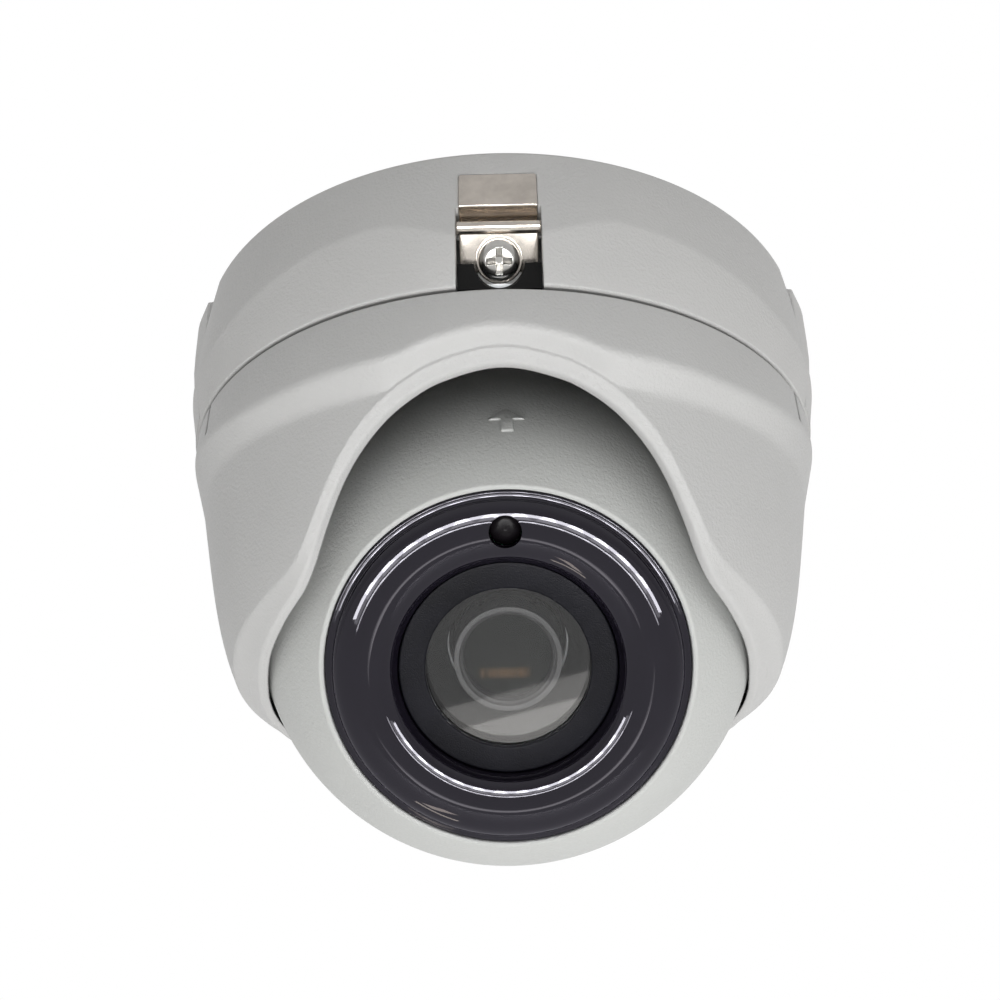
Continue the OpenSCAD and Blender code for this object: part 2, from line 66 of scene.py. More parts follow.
class Pattern(Enum):
    """What a finish shows besides its colour."""

    COAT = "sprayed coat"
    MOULDED = "moulded surface"
    BRUSHED = "brushed metal"
    BOARD = "circuit board"
    GLASS = "clear glass"
    TINTED = "tinted window"
    # The lens pattern's amber streak is a painted reflection of the image sensor behind the lens.
    LENS = "dark lens with a streak from the sensor"


class Axis(Enum):
    """Frames in which a piece is drawn."""

    ROW = "row frame"
    BALL = "lens axis up, top of the face towards +Y"
    LATCH = "screw axis out"


# ---- finishes ----


@dataclass(frozen=True)
class Finish:
    """One surface finish.

    Args:
        name: Material name.
        colour: Linear base colour.
        pattern: What the surface shows.
        rough: Mean roughness.
        metal: Metallic value.
        grain: Size of the fine grain in millimetres.
        depth: Depth of the grain in millimetres.
        mottle: How far the colour varies, as a share.
        edge: Radius of the softened edges in millimetres.
        coat: Weight of the clear coat.
        opacity: Share of what lies behind a window that it hides.
        shine: Level of the surface's mirror reflection.
    """

    name: str
    colour: tuple[float, float, float]
    pattern: Pattern = Pattern.MOULDED
    rough: float = 0.5
    metal: float = 0.0
    grain: float = 0.5
    depth: float = 0.01
    mottle: float = 0.05
    edge: float = 0.15
    coat: float = 0.0
    opacity: float = 1.0
    shine: float = 0.5

    def build(self) -> bpy.types.Material:
        """Makes the material.

        Returns:
            The finished node material.
        """
        mat = bpy.data.materials.new(self.name)
        mat.use_nodes = True
        tree = mat.node_tree
        tree.nodes.clear()
        out = tree.nodes.new("ShaderNodeOutputMaterial")
        if self.pattern in (Pattern.GLASS, Pattern.TINTED):
            self._glazing(tree, out)
        else:
            shader = self._surface(tree)
            tree.links.new(shader.outputs["BSDF"], out.inputs["Surface"])
        return mat

    def _noise(self, tree: bpy.types.NodeTree, size_mm: float, detail: float,
               stretch: tuple[float, float, float] = (1, 1, 1)) -> bpy.types.Node:
        """Noise on Object coordinates.

        Args:
            tree: Node tree to add to.
            size_mm: Size of the blotches.
            detail: Noise detail.
            stretch: Scale of each axis.

        Returns:
            The noise node.
        """
        coord = tree.nodes.new("ShaderNodeTexCoord")
        mapping = tree.nodes.new("ShaderNodeMapping")
        mapping.inputs["Scale"].default_value = stretch
        noise = tree.nodes.new("ShaderNodeTexNoise")
        noise.inputs["Scale"].default_value = 1.0 / (size_mm * MM)
        noise.inputs["Detail"].default_value = detail
        noise.inputs["Roughness"].default_value = 0.55
        tree.links.new(coord.outputs["Object"], mapping.inputs["Vector"])
        tree.links.new(mapping.outputs["Vector"], noise.inputs["Vector"])
        return noise

    def _ramp(self, tree: bpy.types.NodeTree, source: bpy.types.NodeSocket, low: float, high: float,
              start: float = 0.3, end: float = 0.7) -> bpy.types.NodeSocket:
        """Maps a value to a range.

        Args:
            tree: Node tree to add to.
            source: Value socket.
            low: Result at start.
            high: Result at end.
            start: Lower end of the source's range.
            end: Upper end of the source's range.

        Returns:
            The result socket.
        """
        node = tree.nodes.new("ShaderNodeMapRange")
        node.inputs["From Min"].default_value = start
        node.inputs["From Max"].default_value = end
        node.inputs["To Min"].default_value = low
        node.inputs["To Max"].default_value = high
        tree.links.new(source, node.inputs["Value"])
        return node.outputs["Result"]

    def _tone(self, tree: bpy.types.NodeTree, share: bpy.types.NodeSocket,
              dark: Sequence[float], light: Sequence[float]) -> bpy.types.NodeSocket:
        """Mixes two colours by a value.

        Args:
            tree: Node tree to add to.
            share: Mix factor socket.
            dark: Colour at 0.
            light: Colour at 1.

        Returns:
            The colour socket.
        """
        mix = tree.nodes.new("ShaderNodeMix")
        mix.data_type = "RGBA"
        mix.inputs["A"].default_value = (*dark, 1)
        mix.inputs["B"].default_value = (*light, 1)
        tree.links.new(share, mix.inputs["Factor"])
        return mix.outputs["Result"]

    def _surface(self, tree: bpy.types.NodeTree) -> bpy.types.Node:
        """An opaque surface with colour variation, grain and softened edges.

        Args:
            tree: Node tree to add to.

        Returns:
            The shader node.
        """
        shader = tree.nodes.new("ShaderNodeBsdfPrincipled")
        shader.inputs["Metallic"].default_value = self.metal
        shader.inputs["Specular IOR Level"].default_value = self.shine
        shader.inputs["Coat Weight"].default_value = self.coat
        shader.inputs["Coat Roughness"].default_value = 0.12
        dark = [c * (1 - self.mottle) for c in self.colour]
        light = [min(1.0, c * (1 + self.mottle)) for c in self.colour]
        stretch = (1, 1, 14) if self.pattern is Pattern.BRUSHED else (1, 1, 1)
        blotch = self._noise(tree, 9.0 if self.pattern is not Pattern.BRUSHED else 3.0, 3.0)
        grain = self._noise(tree, self.grain, 4.0 if self.pattern is Pattern.BRUSHED else 2.0, stretch)
        share = self._ramp(tree, blotch.outputs["Fac"], 0, 1)
        height = grain.outputs["Fac"]
        colour = self._tone(tree, share, dark, light)
        if self.pattern is Pattern.BOARD:
            tracks = tree.nodes.new("ShaderNodeTexVoronoi")
            tracks.feature = "DISTANCE_TO_EDGE"
            tracks.distance = "MANHATTAN"
            tracks.inputs["Scale"].default_value = 1.0 / (1.7 * MM)
            coord = tree.nodes.new("ShaderNodeTexCoord")
            tree.links.new(coord.outputs["Object"], tracks.inputs["Vector"])
            height = self._ramp(tree, tracks.outputs["Distance"], 1, 0, 0.06, 0.09)
            colour = self._tone(tree, height, self.colour, [c * 2.1 + 0.01 for c in self.colour])
        # Painted reflection: an amber streak in the lens's colour stands in for the image sensor seen through
        # it.
        if self.pattern is Pattern.LENS:
            colour = self._painted_sensor_reflection(tree, colour)
        rough = self._ramp(tree, height, self.rough * 0.85, min(1, self.rough * 1.15))
        soft = tree.nodes.new("ShaderNodeBevel")
        soft.samples = 4
        soft.inputs["Radius"].default_value = self.edge * MM
        bump = tree.nodes.new("ShaderNodeBump")
        bump.inputs["Distance"].default_value = self.depth * MM
        bump.inputs["Strength"].default_value = 1.0
        tree.links.new(soft.outputs["Normal"], bump.inputs["Normal"])
        tree.links.new(height, bump.inputs["Height"])
        tree.links.new(bump.outputs["Normal"], shader.inputs["Normal"])
        tree.links.new(colour, shader.inputs["Base Color"])
        tree.links.new(rough, shader.inputs["Roughness"])
        return shader

    def _painted_sensor_reflection(self, tree: bpy.types.NodeTree, under: bpy.types.NodeSocket) -> bpy.types.NodeSocket:
        """Paints the amber reflection of the image sensor into the lens's base colour, as a lens shows it: a
        painted reflection.

        Args:
            tree: Node tree to add to.
            under: Colour below the streak.

        Returns:
            The colour socket.
        """
        coord = tree.nodes.new("ShaderNodeTexCoord")
        up = math.radians(90 + LENS_DOWN)
        share: Optional[bpy.types.NodeSocket] = None
        for axis, middle, half in (((1, 0, 0), -0.6, 3.9), ((0, math.cos(up), math.sin(up)), -2.8, 0.8)):
            along = tree.nodes.new("ShaderNodeVectorMath")
            along.operation = "DOT_PRODUCT"
            along.inputs[1].default_value = axis
            tree.links.new(coord.outputs["Object"], along.inputs[0])
            away = tree.nodes.new("ShaderNodeMath")
            away.operation = "SUBTRACT"
            away.inputs[1].default_value = (middle - axis[2] * BALL_DROP) * MM
            size = tree.nodes.new("ShaderNodeMath")
            size.operation = "ABSOLUTE"
            tree.links.new(along.outputs["Value"], away.inputs[0])
            tree.links.new(away.outputs[0], size.inputs[0])
            inside = self._ramp(tree, size.outputs[0], 1, 0, (half - 0.45) * MM, (half + 0.3) * MM)
            if share is None:
                share = inside
            else:
                both = tree.nodes.new("ShaderNodeMath")
                both.operation = "MULTIPLY"
                tree.links.new(share, both.inputs[0])
                tree.links.new(inside, both.inputs[1])
                share = both.outputs[0]
        lines = self._noise(tree, 1.0, 1.0, (2.2, 0.15, 0.15))
        faded = tree.nodes.new("ShaderNodeMath")
        faded.operation = "MULTIPLY"
        tree.links.new(share, faded.inputs[0])
        tree.links.new(self._ramp(tree, lines.outputs["Fac"], 0.35, 1), faded.inputs[1])
        # Amber colour of the painted sensor reflection, mixed over the lens's own dark colour.
        blend = tree.nodes.new("ShaderNodeMix")
        blend.data_type = "RGBA"
        blend.inputs["B"].default_value = (0.10, 0.06, 0.028, 1)
        tree.links.new(faded.outputs[0], blend.inputs["Factor"])
        tree.links.new(under, blend.inputs["A"])
        return blend.outputs["Result"]

    def _glazing(self, tree: bpy.types.NodeTree, out: bpy.types.Node) -> None:
        """Glass or a tinted window: a mirror by Fresnel over what lets light through.

        Args:
            tree: Node tree to add to.
            out: The material's output node.
        """
        fresnel = tree.nodes.new("ShaderNodeFresnel")
        fresnel.inputs["IOR"].default_value = 1.5
        smear = self._noise(tree, 6.0, 2.0)
        gloss = tree.nodes.new("ShaderNodeBsdfGlossy")
        tinted = self.pattern is Pattern.TINTED
        gloss.inputs["Color"].default_value = (0.92, 0.9, 1, 1) if tinted else (1, 1, 1, 1)
        tree.links.new(self._ramp(tree, smear.outputs["Fac"], self.rough, self.rough + 0.015),
                       gloss.inputs["Roughness"])
        clear = tree.nodes.new("ShaderNodeBsdfTransparent")
        clear.inputs["Color"].default_value = (*self.colour, 1)
        under = clear
        if self.pattern is Pattern.TINTED:
            body = self._surface(tree)
            under = tree.nodes.new("ShaderNodeMixShader")
            under.inputs["Fac"].default_value = self.opacity
            clear.inputs["Color"].default_value = (0.3, 0.24, 0.3, 1)
            tree.links.new(clear.outputs["BSDF"], under.inputs[1])
            tree.links.new(body.outputs["BSDF"], under.inputs[2])
        top = tree.nodes.new("ShaderNodeMixShader")
        tree.links.new(fresnel.outputs["Fac"], top.inputs["Fac"])
        tree.links.new(under.outputs[0], top.inputs[1])
        tree.links.new(gloss.outputs["BSDF"], top.inputs[2])
        tree.links.new(top.outputs["Shader"], out.inputs["Surface"])


class Finishes:
    """Every finish of the camera, by the record's slot."""

    def __init__(self) -> None:
        """Lists the finishes; each material is made on first use."""
        coat = dict(pattern=Pattern.COAT, rough=0.5, grain=0.5, depth=0.1, mottle=0.012, edge=0.3, shine=0.25)
        metal = dict(pattern=Pattern.BRUSHED, metal=1.0, rough=0.3, grain=0.25, depth=0.0005, mottle=0.1,
                     edge=0.1)
        self.specs: dict[str, Finish] = {
            "base_paint": Finish("base_paint", (0.400, 0.397, 0.390), **coat),
            "trim_paint": Finish("trim_paint", (0.388, 0.386, 0.380), **coat),
            "ball_paint": Finish("ball_paint", (0.390, 0.395, 0.383), **coat),
            "nickel": Finish("nickel", (0.50, 0.46, 0.415), **{**metal, "rough": 0.19}),
            "screw_steel": Finish("screw_steel", (0.5, 0.49, 0.47), **{**metal, "rough": 0.17}),
            "zinc_steel": Finish("zinc_steel", (0.62, 0.64, 0.66), **{**metal, "rough": 0.36}),
            "brass": Finish("brass", (0.72, 0.50, 0.22), **metal),
            "cast_aluminium": Finish("cast_aluminium", (0.6, 0.61, 0.62), metal=1.0, rough=0.5, grain=0.4,
                                     depth=0.03),
            "rubber": Finish("rubber", (0.022, 0.022, 0.023), rough=0.72, grain=0.4, depth=0.02, mottle=0.2),
            "black_plastic": Finish("black_plastic", (0.003, 0.003, 0.003), rough=0.6, grain=0.35, depth=0.01,
                                    mottle=0.15, shine=0.1),
            "collar_black": Finish("collar_black", (0.004, 0.004, 0.006), rough=0.42, grain=0.22, depth=0.09,
                                   mottle=0.4, edge=0.15, shine=0.08),
            "barrel_black": Finish("barrel_black", (0.030, 0.030, 0.031), rough=0.5, grain=0.2, depth=0.004,
                                   mottle=0.1, edge=0.08),
            "nylon": Finish("nylon", (0.72, 0.70, 0.62), rough=0.45, mottle=0.04),
            "window_plastic": Finish("window_plastic", (0.004, 0.003, 0.006), Pattern.TINTED, rough=0.03,
                                     grain=3.0, depth=0.0, mottle=0.1, edge=0.1, opacity=0.93, shine=0.0),
            "clear_glass": Finish("clear_glass", (0.94, 0.94, 0.94), Pattern.GLASS, rough=0.015),
            "lens_glass": Finish("lens_glass", (0.008, 0.009, 0.008), Pattern.LENS, rough=0.12, grain=2.0,
                                 depth=0.0, edge=0.05, shine=0.04),
            "filter_glass": Finish("filter_glass", (0.8, 0.45, 0.5), Pattern.GLASS, rough=0.02),
            "circuit_board": Finish("circuit_board", (0.02, 0.13, 0.06), Pattern.BOARD, rough=0.32,
                                    depth=0.03, coat=0.4),
            "led_resin": Finish("led_resin", (0.70, 0.62, 0.34), rough=0.12, grain=1.2, depth=0.0, coat=0.6),
            "dark_resin": Finish("dark_resin", (0.005, 0.004, 0.005), rough=0.3, grain=1.0, depth=0.0,
                                 shine=0.08),
            "sensor_die": Finish("sensor_die", (0.42, 0.28, 0.14), rough=0.2, grain=0.2, coat=0.8),
            "chip_black": Finish("chip_black", (0.03, 0.03, 0.032), rough=0.55, grain=0.25, depth=0.01),
            "polyimide": Finish("polyimide", (0.62, 0.33, 0.07), rough=0.25, grain=1.5, depth=0.002,
                                coat=0.3),
        }
        self.made: dict[str, bpy.types.Material] = {}

    def get(self, slot: str) -> bpy.types.Material:
        """The material of a slot.

        Args:
            slot: The record's material slot.

        Returns:
            Its node material.
        """
        if slot not in self.made:
            self.made[slot] = self.specs[slot].build()
        return self.made[slot]


# ---- shapes ----


def frame_matrix(axis: Axis) -> Matrix:
    """The matrix from a drawing frame to the row frame, in millimetres.

    Args:
        axis: Which drawing frame.

    Returns:
        A 4x4 matrix.
    """
    if axis is Axis.BALL:
        return Matrix.Translation((0, 0, -BALL_DROP)) @ Matrix.Rotation(math.radians(90 + LENS_DOWN), 4, "X")
    if axis is Axis.LATCH:
        down = LATCH_REACH * math.cos(math.radians(LATCH_LEAN))
        origin = (0, LATCH_BEND[0] + down, LATCH_BEND[1] - down)
        return Matrix.Translation(origin) @ Matrix.Rotation(math.radians(90 + LATCH_LEAN), 4, "X")
    return Matrix.Identity(4)


def rounded(corners: Sequence[tuple[float, float, float]], steps: int = 5,
            closed: bool = True) -> list[Point2]:
    """A polygon with its corners rounded.

    Args:
        corners: (x, y, radius) of each corner.
        steps: Points per rounded corner.
        closed: Whether the last corner joins the first.

    Returns:
        The rounded outline.
    """
    out: list[Point2] = []
    n = len(corners)
    for i, (x, y, r) in enumerate(corners):
        if r <= 0 or (not closed and i in (0, n - 1)):
            out.append((x, y))
            continue
        here = Vector((x, y))
        back = Vector(corners[i - 1][:2]) - here
        ahead = Vector(corners[(i + 1) % n][:2]) - here
        a = here + back.normalized() * min(r, back.length * 0.49)
        b = here + ahead.normalized() * min(r, ahead.length * 0.49)
        for k in range(steps + 1):
            t = k / steps
            p = a * (1 - t) ** 2 + here * 2 * t * (1 - t) + b * t ** 2
            out.append((p.x, p.y))
    return out


def arc(radius: float, start: float, end: float, steps: int, centre: Point2 = (0, 0)) -> list[Point2]:
    """Points on an arc.

    Args:
        radius: Radius of the arc.
        start: First angle in degrees from the x axis.
        end: Last angle in degrees.
        steps: Number of steps.
        centre: Centre of the arc.

    Returns:
        steps + 1 points.
    """
    angles = [math.radians(start + (end - start) * i / steps) for i in range(steps + 1)]
    return [(centre[0] + radius * math.cos(a), centre[1] + radius * math.sin(a)) for a in angles]


def smooth(t: float) -> float:
    """Smooth step from 0 to 1."""
    t = min(1.0, max(0.0, t))
    return t * t * (3 - 2 * t)


def mix(a: float, b: float, t: float) -> float:
    """Value between a and b at t."""
    return a + (b - a) * t


def through(points: Sequence[Point2], t: float) -> float:
    """Value at t of a smooth curve through points, level at both ends."""
    last = len(points) - 1
    t = min(points[last][0], max(points[0][0], t))
    i = next(k for k in range(last) if t <= points[k + 1][0])
    slopes = [0.0 if k in (0, last) else
              (points[k + 1][1] - points[k - 1][1]) / (points[k + 1][0] - points[k - 1][0])
              for k in (i, i + 1)]
    (x0, y0), (x1, y1) = points[i], points[i + 1]
    h = x1 - x0
    u = (t - x0) / h
    return (mix(y0, y1, u * u * (3 - 2 * u)) + h * slopes[0] * u * (1 - u) ** 2
            - h * slopes[1] * u * u * (1 - u))


def mesh_object(name: str, bm: bmesh.types.BMesh, axis: Axis = Axis.ROW,
                crisp: float = 32.0) -> bpy.types.Object:
    """Turns a mesh drawn in millimetres into an object in the row frame.

    Args:
        name: Object name.
        bm: The mesh; it is freed.
        axis: Frame that the mesh is drawn in.
        crisp: Angle in degrees above which an edge stays sharp.

    Returns:
        The new object, at the origin, unturned and unscaled.
    """
    bmesh.ops.remove_doubles(bm, verts=bm.verts, dist=1e-5)
    bmesh.ops.dissolve_degenerate(bm, edges=bm.edges, dist=1e-6)
    bmesh.ops.recalc_face_normals(bm, faces=bm.faces)
    bmesh.ops.transform(bm, matrix=Matrix.Scale(MM, 4) @ frame_matrix(axis), verts=bm.verts)
    mesh = bpy.data.meshes.new(name)
    bm.to_mesh(mesh)
    bm.free()
    mesh.shade_smooth()
    mesh.set_sharp_from_angle(angle=math.radians(crisp))
    obj = bpy.data.objects.new(name, mesh)
    bpy.context.scene.collection.objects.link(obj)
    return obj


def loft(sections: Sequence[Sequence[Vector]], ring: bool = True) -> bmesh.types.BMesh:
    """Skins closed sections.

    Args:
        sections: Sections with the same number of points.
        ring: Whether the last section joins the first; if not, both ends are capped.

    Returns:
        The mesh.
    """
    bm = bmesh.new()
    rows = [[bm.verts.new(p) for p in section] for section in sections]
    m = len(rows[0])
    for k in range(len(rows) if ring else len(rows) - 1):
        here, there = rows[k], rows[(k + 1) % len(rows)]
        for i in range(m):
            j = (i + 1) % m
            bm.faces.new((here[i], here[j], there[j], there[i]))
    if not ring:
        bm.faces.new(rows[0])
        bm.faces.new(reversed(rows[-1]))
    return bm


def lathe(outline: Sequence[Point2], steps: int = 192) -> bmesh.types.BMesh:
    """Turns a closed (radius, height) outline about the Z axis.

    Args:
        outline: The closed outline.
        steps: Steps round the axis.

    Returns:
        The mesh.
    """
    return loft([[Vector((r * math.cos(a), r * math.sin(a), z)) for r, z in outline]
                 for a in (TAU * k / steps for k in range(steps))])


def prism(outline: Sequence[Point2], low: float, high: float) -> bmesh.types.BMesh:
    """A prism along Z over a closed (x, y) outline."""
    return loft([[Vector((x, y, z)) for x, y in outline] for z in (low, high)], ring=False)


def block(low: Sequence[float], high: Sequence[float], turn: Optional[Matrix] = None) -> bmesh.types.BMesh:
    """A box between two corners, turned by a matrix if one is given."""
    outline = [(low[0], low[1]), (high[0], low[1]), (high[0], high[1]), (low[0], high[1])]
    bm = prism(outline, low[2], high[2])
    if turn:
        bmesh.ops.transform(bm, matrix=turn, verts=bm.verts)
    return bm


def carve(obj: bpy.types.Object, cutters: Iterable[bpy.types.Object], crisp: float = 32.0,
          how: str = "DIFFERENCE") -> bpy.types.Object:
    """Cuts shapes out of a piece, or adds them to it, and removes the shapes.

    Args:
        obj: Piece to work on.
        cutters: Closed shapes.
        crisp: Angle in degrees above which an edge stays sharp.
        how: Boolean operation.

    Returns:
        The same piece.
    """
    cutters = list(cutters)
    for cutter in cutters:
        mod = obj.modifiers.new("cut", "BOOLEAN")
        mod.operation, mod.solver, mod.object = how, "EXACT", cutter
    bake(obj)
    for cutter in cutters:
        bpy.data.objects.remove(cutter, do_unlink=True)
    obj.data.shade_smooth()
    obj.data.set_sharp_from_angle(angle=math.radians(crisp))
    return obj


def bake(obj: bpy.types.Object) -> None:
    """Turns an object's modifiers into its plain mesh."""
    graph = bpy.context.evaluated_depsgraph_get()
    mesh = bpy.data.meshes.new_from_object(obj.evaluated_get(graph))
    obj.modifiers.clear()
    obj.data = mesh


def joined(name: str, parts: Sequence[bpy.types.Object]) -> bpy.types.Object:
    """Joins objects into one piece.

    Args:
        name: Name of the joined piece.
        parts: Objects to join.

    Returns:
        The joined object.
    """
    bm = bmesh.new()
    for part in parts:
        bm.from_mesh(part.data)
        bpy.data.objects.remove(part, do_unlink=True)
    mesh = bpy.data.meshes.new(name)
    bm.to_mesh(mesh)
    bm.free()
    mesh.shade_smooth()
    mesh.set_sharp_from_angle(angle=math.radians(32))
    obj = bpy.data.objects.new(name, mesh)
    bpy.context.scene.collection.objects.link(obj)
    return obj


# ---- repeated pieces ----


@dataclass(frozen=True)
class Screw:
    """A cross-recessed screw, head up, with its seat at the origin.

    Args:
        shank: Radius of the shank.
        length: Length of the shank.
        head: Radius of the head.
        height: Height of the head.
        pitch: Pitch of the thread.
        steps: Steps round the axis.
        cross: Length and width of the recess, as shares of the head's radius.
    """

    shank: float
    length: float
    head: float
    height: float
    pitch: float = 0.5
    steps: int = 48
    cross: Point2 = (0.56, 0.13)

    def build(self, name: str, lift: float = 0.0) -> bpy.types.Object:
        """Makes the screw.

        Args:
            name: Object name.
            lift: Height of the seat above the origin.

        Returns:
            The screw, drawn in millimetres scaled to metres.
        """
        turns = max(2, int(self.length * 0.8 / self.pitch))
        outline: list[Point2] = [(0, -self.length), (self.shank * 0.75, -self.length)]
        for k in range(turns):
            z = -self.length + 0.15 + k * self.pitch
            outline += [(self.shank * 0.8, z), (self.shank, z + self.pitch * 0.5)]
        outline += [(self.shank * 0.92, -0.2 * self.length), (self.shank, 0.0)]
        outline += rounded([(self.head, 0, 0.12 * self.head), (self.head, self.height * 0.5, 0.3 * self.head),
                            (self.head * 0.66, self.height * 0.93, 0.35 * self.head),
                            (0, self.height, 0)], 5, closed=False)
        bm = lathe([(r, z + lift) for r, z in outline], self.steps)
        screw = mesh_object(name, bm)
        cuts = []
        for turn in (0, math.pi / 2):
            w, l, top = self.head * self.cross[1], self.head * self.cross[0], self.height + lift
            levels = ((0.25, 0.6, top - self.height * 0.75), (1, 1, top - self.height * 0.12),
                      (1.05, 1, top + 1))
            wedge = loft([[Vector((-l * s, -w * s2, z)), Vector((l * s, -w * s2, z)),
                           Vector((l * s, w * s2, z)), Vector((-l * s, w * s2, z))]
                          for s, s2, z in levels], ring=False)
            bmesh.ops.transform(wedge, matrix=Matrix.Rotation(turn, 4, "Z"), verts=wedge.verts)
            cuts.append(mesh_object(f"{name}_wedge", wedge))
        return carve(screw, cuts)


class RingOf:
    """Geometry Nodes that set copies of a template at equal angles round Z."""

    def __init__(self) -> None:
        """Builds the node tree, with named inputs for its sizes."""
        tree = bpy.data.node_groups.new("ring_of_pieces", "GeometryNodeTree")
        face = tree.interface
        for name, kind in (("Geometry", "NodeSocketGeometry"), ("Template", "NodeSocketObject"),
                           ("Count", "NodeSocketInt"), ("Radius", "NodeSocketFloat"),
                           ("Start", "NodeSocketFloat"), ("Height", "NodeSocketFloat"),
                           ("Finish", "NodeSocketMaterial")):
            face.new_socket(name=name, in_out="INPUT", socket_type=kind)
        face.new_socket(name="Geometry", in_out="OUTPUT", socket_type="NodeSocketGeometry")
        node, link = tree.nodes.new, tree.links.new
        given, out = node("NodeGroupInput"), node("NodeGroupOutput")
        points = node("GeometryNodePoints")
        index = node("GeometryNodeInputIndex")
        share = node("ShaderNodeMath")
        share.operation = "DIVIDE"
        angle = node("ShaderNodeMath")
        angle.operation = "MULTIPLY_ADD"
        angle.inputs[1].default_value = TAU
        link(index.outputs[0], share.inputs[0])
        link(given.outputs["Count"], share.inputs[1])
        link(share.outputs[0], angle.inputs[0])
        link(given.outputs["Start"], angle.inputs[2])
        place = node("ShaderNodeCombineXYZ")
        for fn, socket in (("COSINE", "X"), ("SINE", "Y")):
            wave, size = node("ShaderNodeMath"), node("ShaderNodeMath")
            wave.operation, size.operation = fn, "MULTIPLY"
            link(angle.outputs[0], wave.inputs[0])
            link(wave.outputs[0], size.inputs[0])
            link(given.outputs["Radius"], size.inputs[1])
            link(size.outputs[0], place.inputs[socket])
        link(given.outputs["Height"], place.inputs["Z"])
        link(given.outputs["Count"], points.inputs["Count"])
        link(place.outputs[0], points.inputs["Position"])
        info = node("GeometryNodeObjectInfo")
        link(given.outputs["Template"], info.inputs["Object"])
        turn = node("ShaderNodeCombineXYZ")
        link(angle.outputs[0], turn.inputs["Z"])
        copies = node("GeometryNodeInstanceOnPoints")
        link(points.outputs[0], copies.inputs["Points"])
        link(info.outputs["Geometry"], copies.inputs["Instance"])
        link(turn.outputs[0], copies.inputs["Rotation"])
        real, dress = node("GeometryNodeRealizeInstances"), node("GeometryNodeSetMaterial")
        link(copies.outputs[0], real.inputs[0])
        link(real.outputs[0], dress.inputs["Geometry"])
        link(given.outputs["Finish"], dress.inputs["Material"])
        link(dress.outputs[0], out.inputs[0])
        self.tree = tree
        self.keys = {item.name: item.identifier for item in face.items_tree if item.in_out == "INPUT"}

    def lay(self, name: str, template: bpy.types.Object, count: int, radius: float, start: float,
            height: float, finish: bpy.types.Material, axis: Axis) -> bpy.types.Object:
        """Lays the copies and returns them as one plain mesh.

        Args:
            name: Object name.
            template: Object to copy; it is removed.
            count: Number of copies.
            radius: Radius of the circle in millimetres.
            start: Angle of the first copy in degrees.
            height: Height of the circle in millimetres.
            finish: Material of the copies.
            axis: Frame in which the circle lies.

        Returns:
            The finished piece.
        """
        obj = bpy.data.objects.new(name, bpy.data.meshes.new(name))
        bpy.context.scene.collection.objects.link(obj)
        mod = obj.modifiers.new("ring", "NODES")
        mod.node_group = self.tree
        values = {"Template": template, "Count": count, "Radius": radius * MM, "Start": math.radians(start),
                  "Height": height * MM, "Finish": finish}
        for key, value in values.items():
            mod[self.keys[key]] = value
        bake(obj)
        bpy.data.objects.remove(template, do_unlink=True)
        place = Matrix.Scale(MM, 4) @ frame_matrix(axis) @ Matrix.Scale(1 / MM, 4)
        obj.data.transform(place)
        obj.data.shade_smooth()
        obj.data.set_sharp_from_angle(angle=math.radians(32))
        return obj


# ---- dressing ----


@dataclass
class Workshop:
    """What every sub-assembly shares: finishes, the ring tree, and how a piece is handed over."""

    finishes: Finishes = field(default_factory=Finishes)
    ring: RingOf = field(default_factory=RingOf)

    def hand_over(self, piece: bpy.types.Object, slot: str, body: str, *nodes: str) -> None:
        """Dresses a piece and ties it to its body and to the nodes it stands for.

        Args:
            piece: The piece.
            slot: The record's material slot.
            body: Body that it rides on.
            nodes: CAD nodes that it replaces.
        """
        piece.data.materials.clear()
        piece.data.materials.append(self.finishes.get(slot))
        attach(piece, body)
        if nodes:
            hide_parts(*nodes)
        LOG.info("%s: %d faces on %s", piece.name, len(piece.data.polygons), body)

    def dress_nodes(self) -> None:
        """Gives every CAD node that still shows its finish."""
        slots = {part["node"]: part["material_slot"] for part in frame["record"]["subparts"]}
        for name, node in frame["nodes"].items():
            finish = self.finishes.get(slots[name])
            for index in range(max(1, len(node.material_slots))):
                if index < len(node.material_slots):
                    node.material_slots[index].material = finish
                else:
                    node.data.materials.append(finish)


# ---- base ----


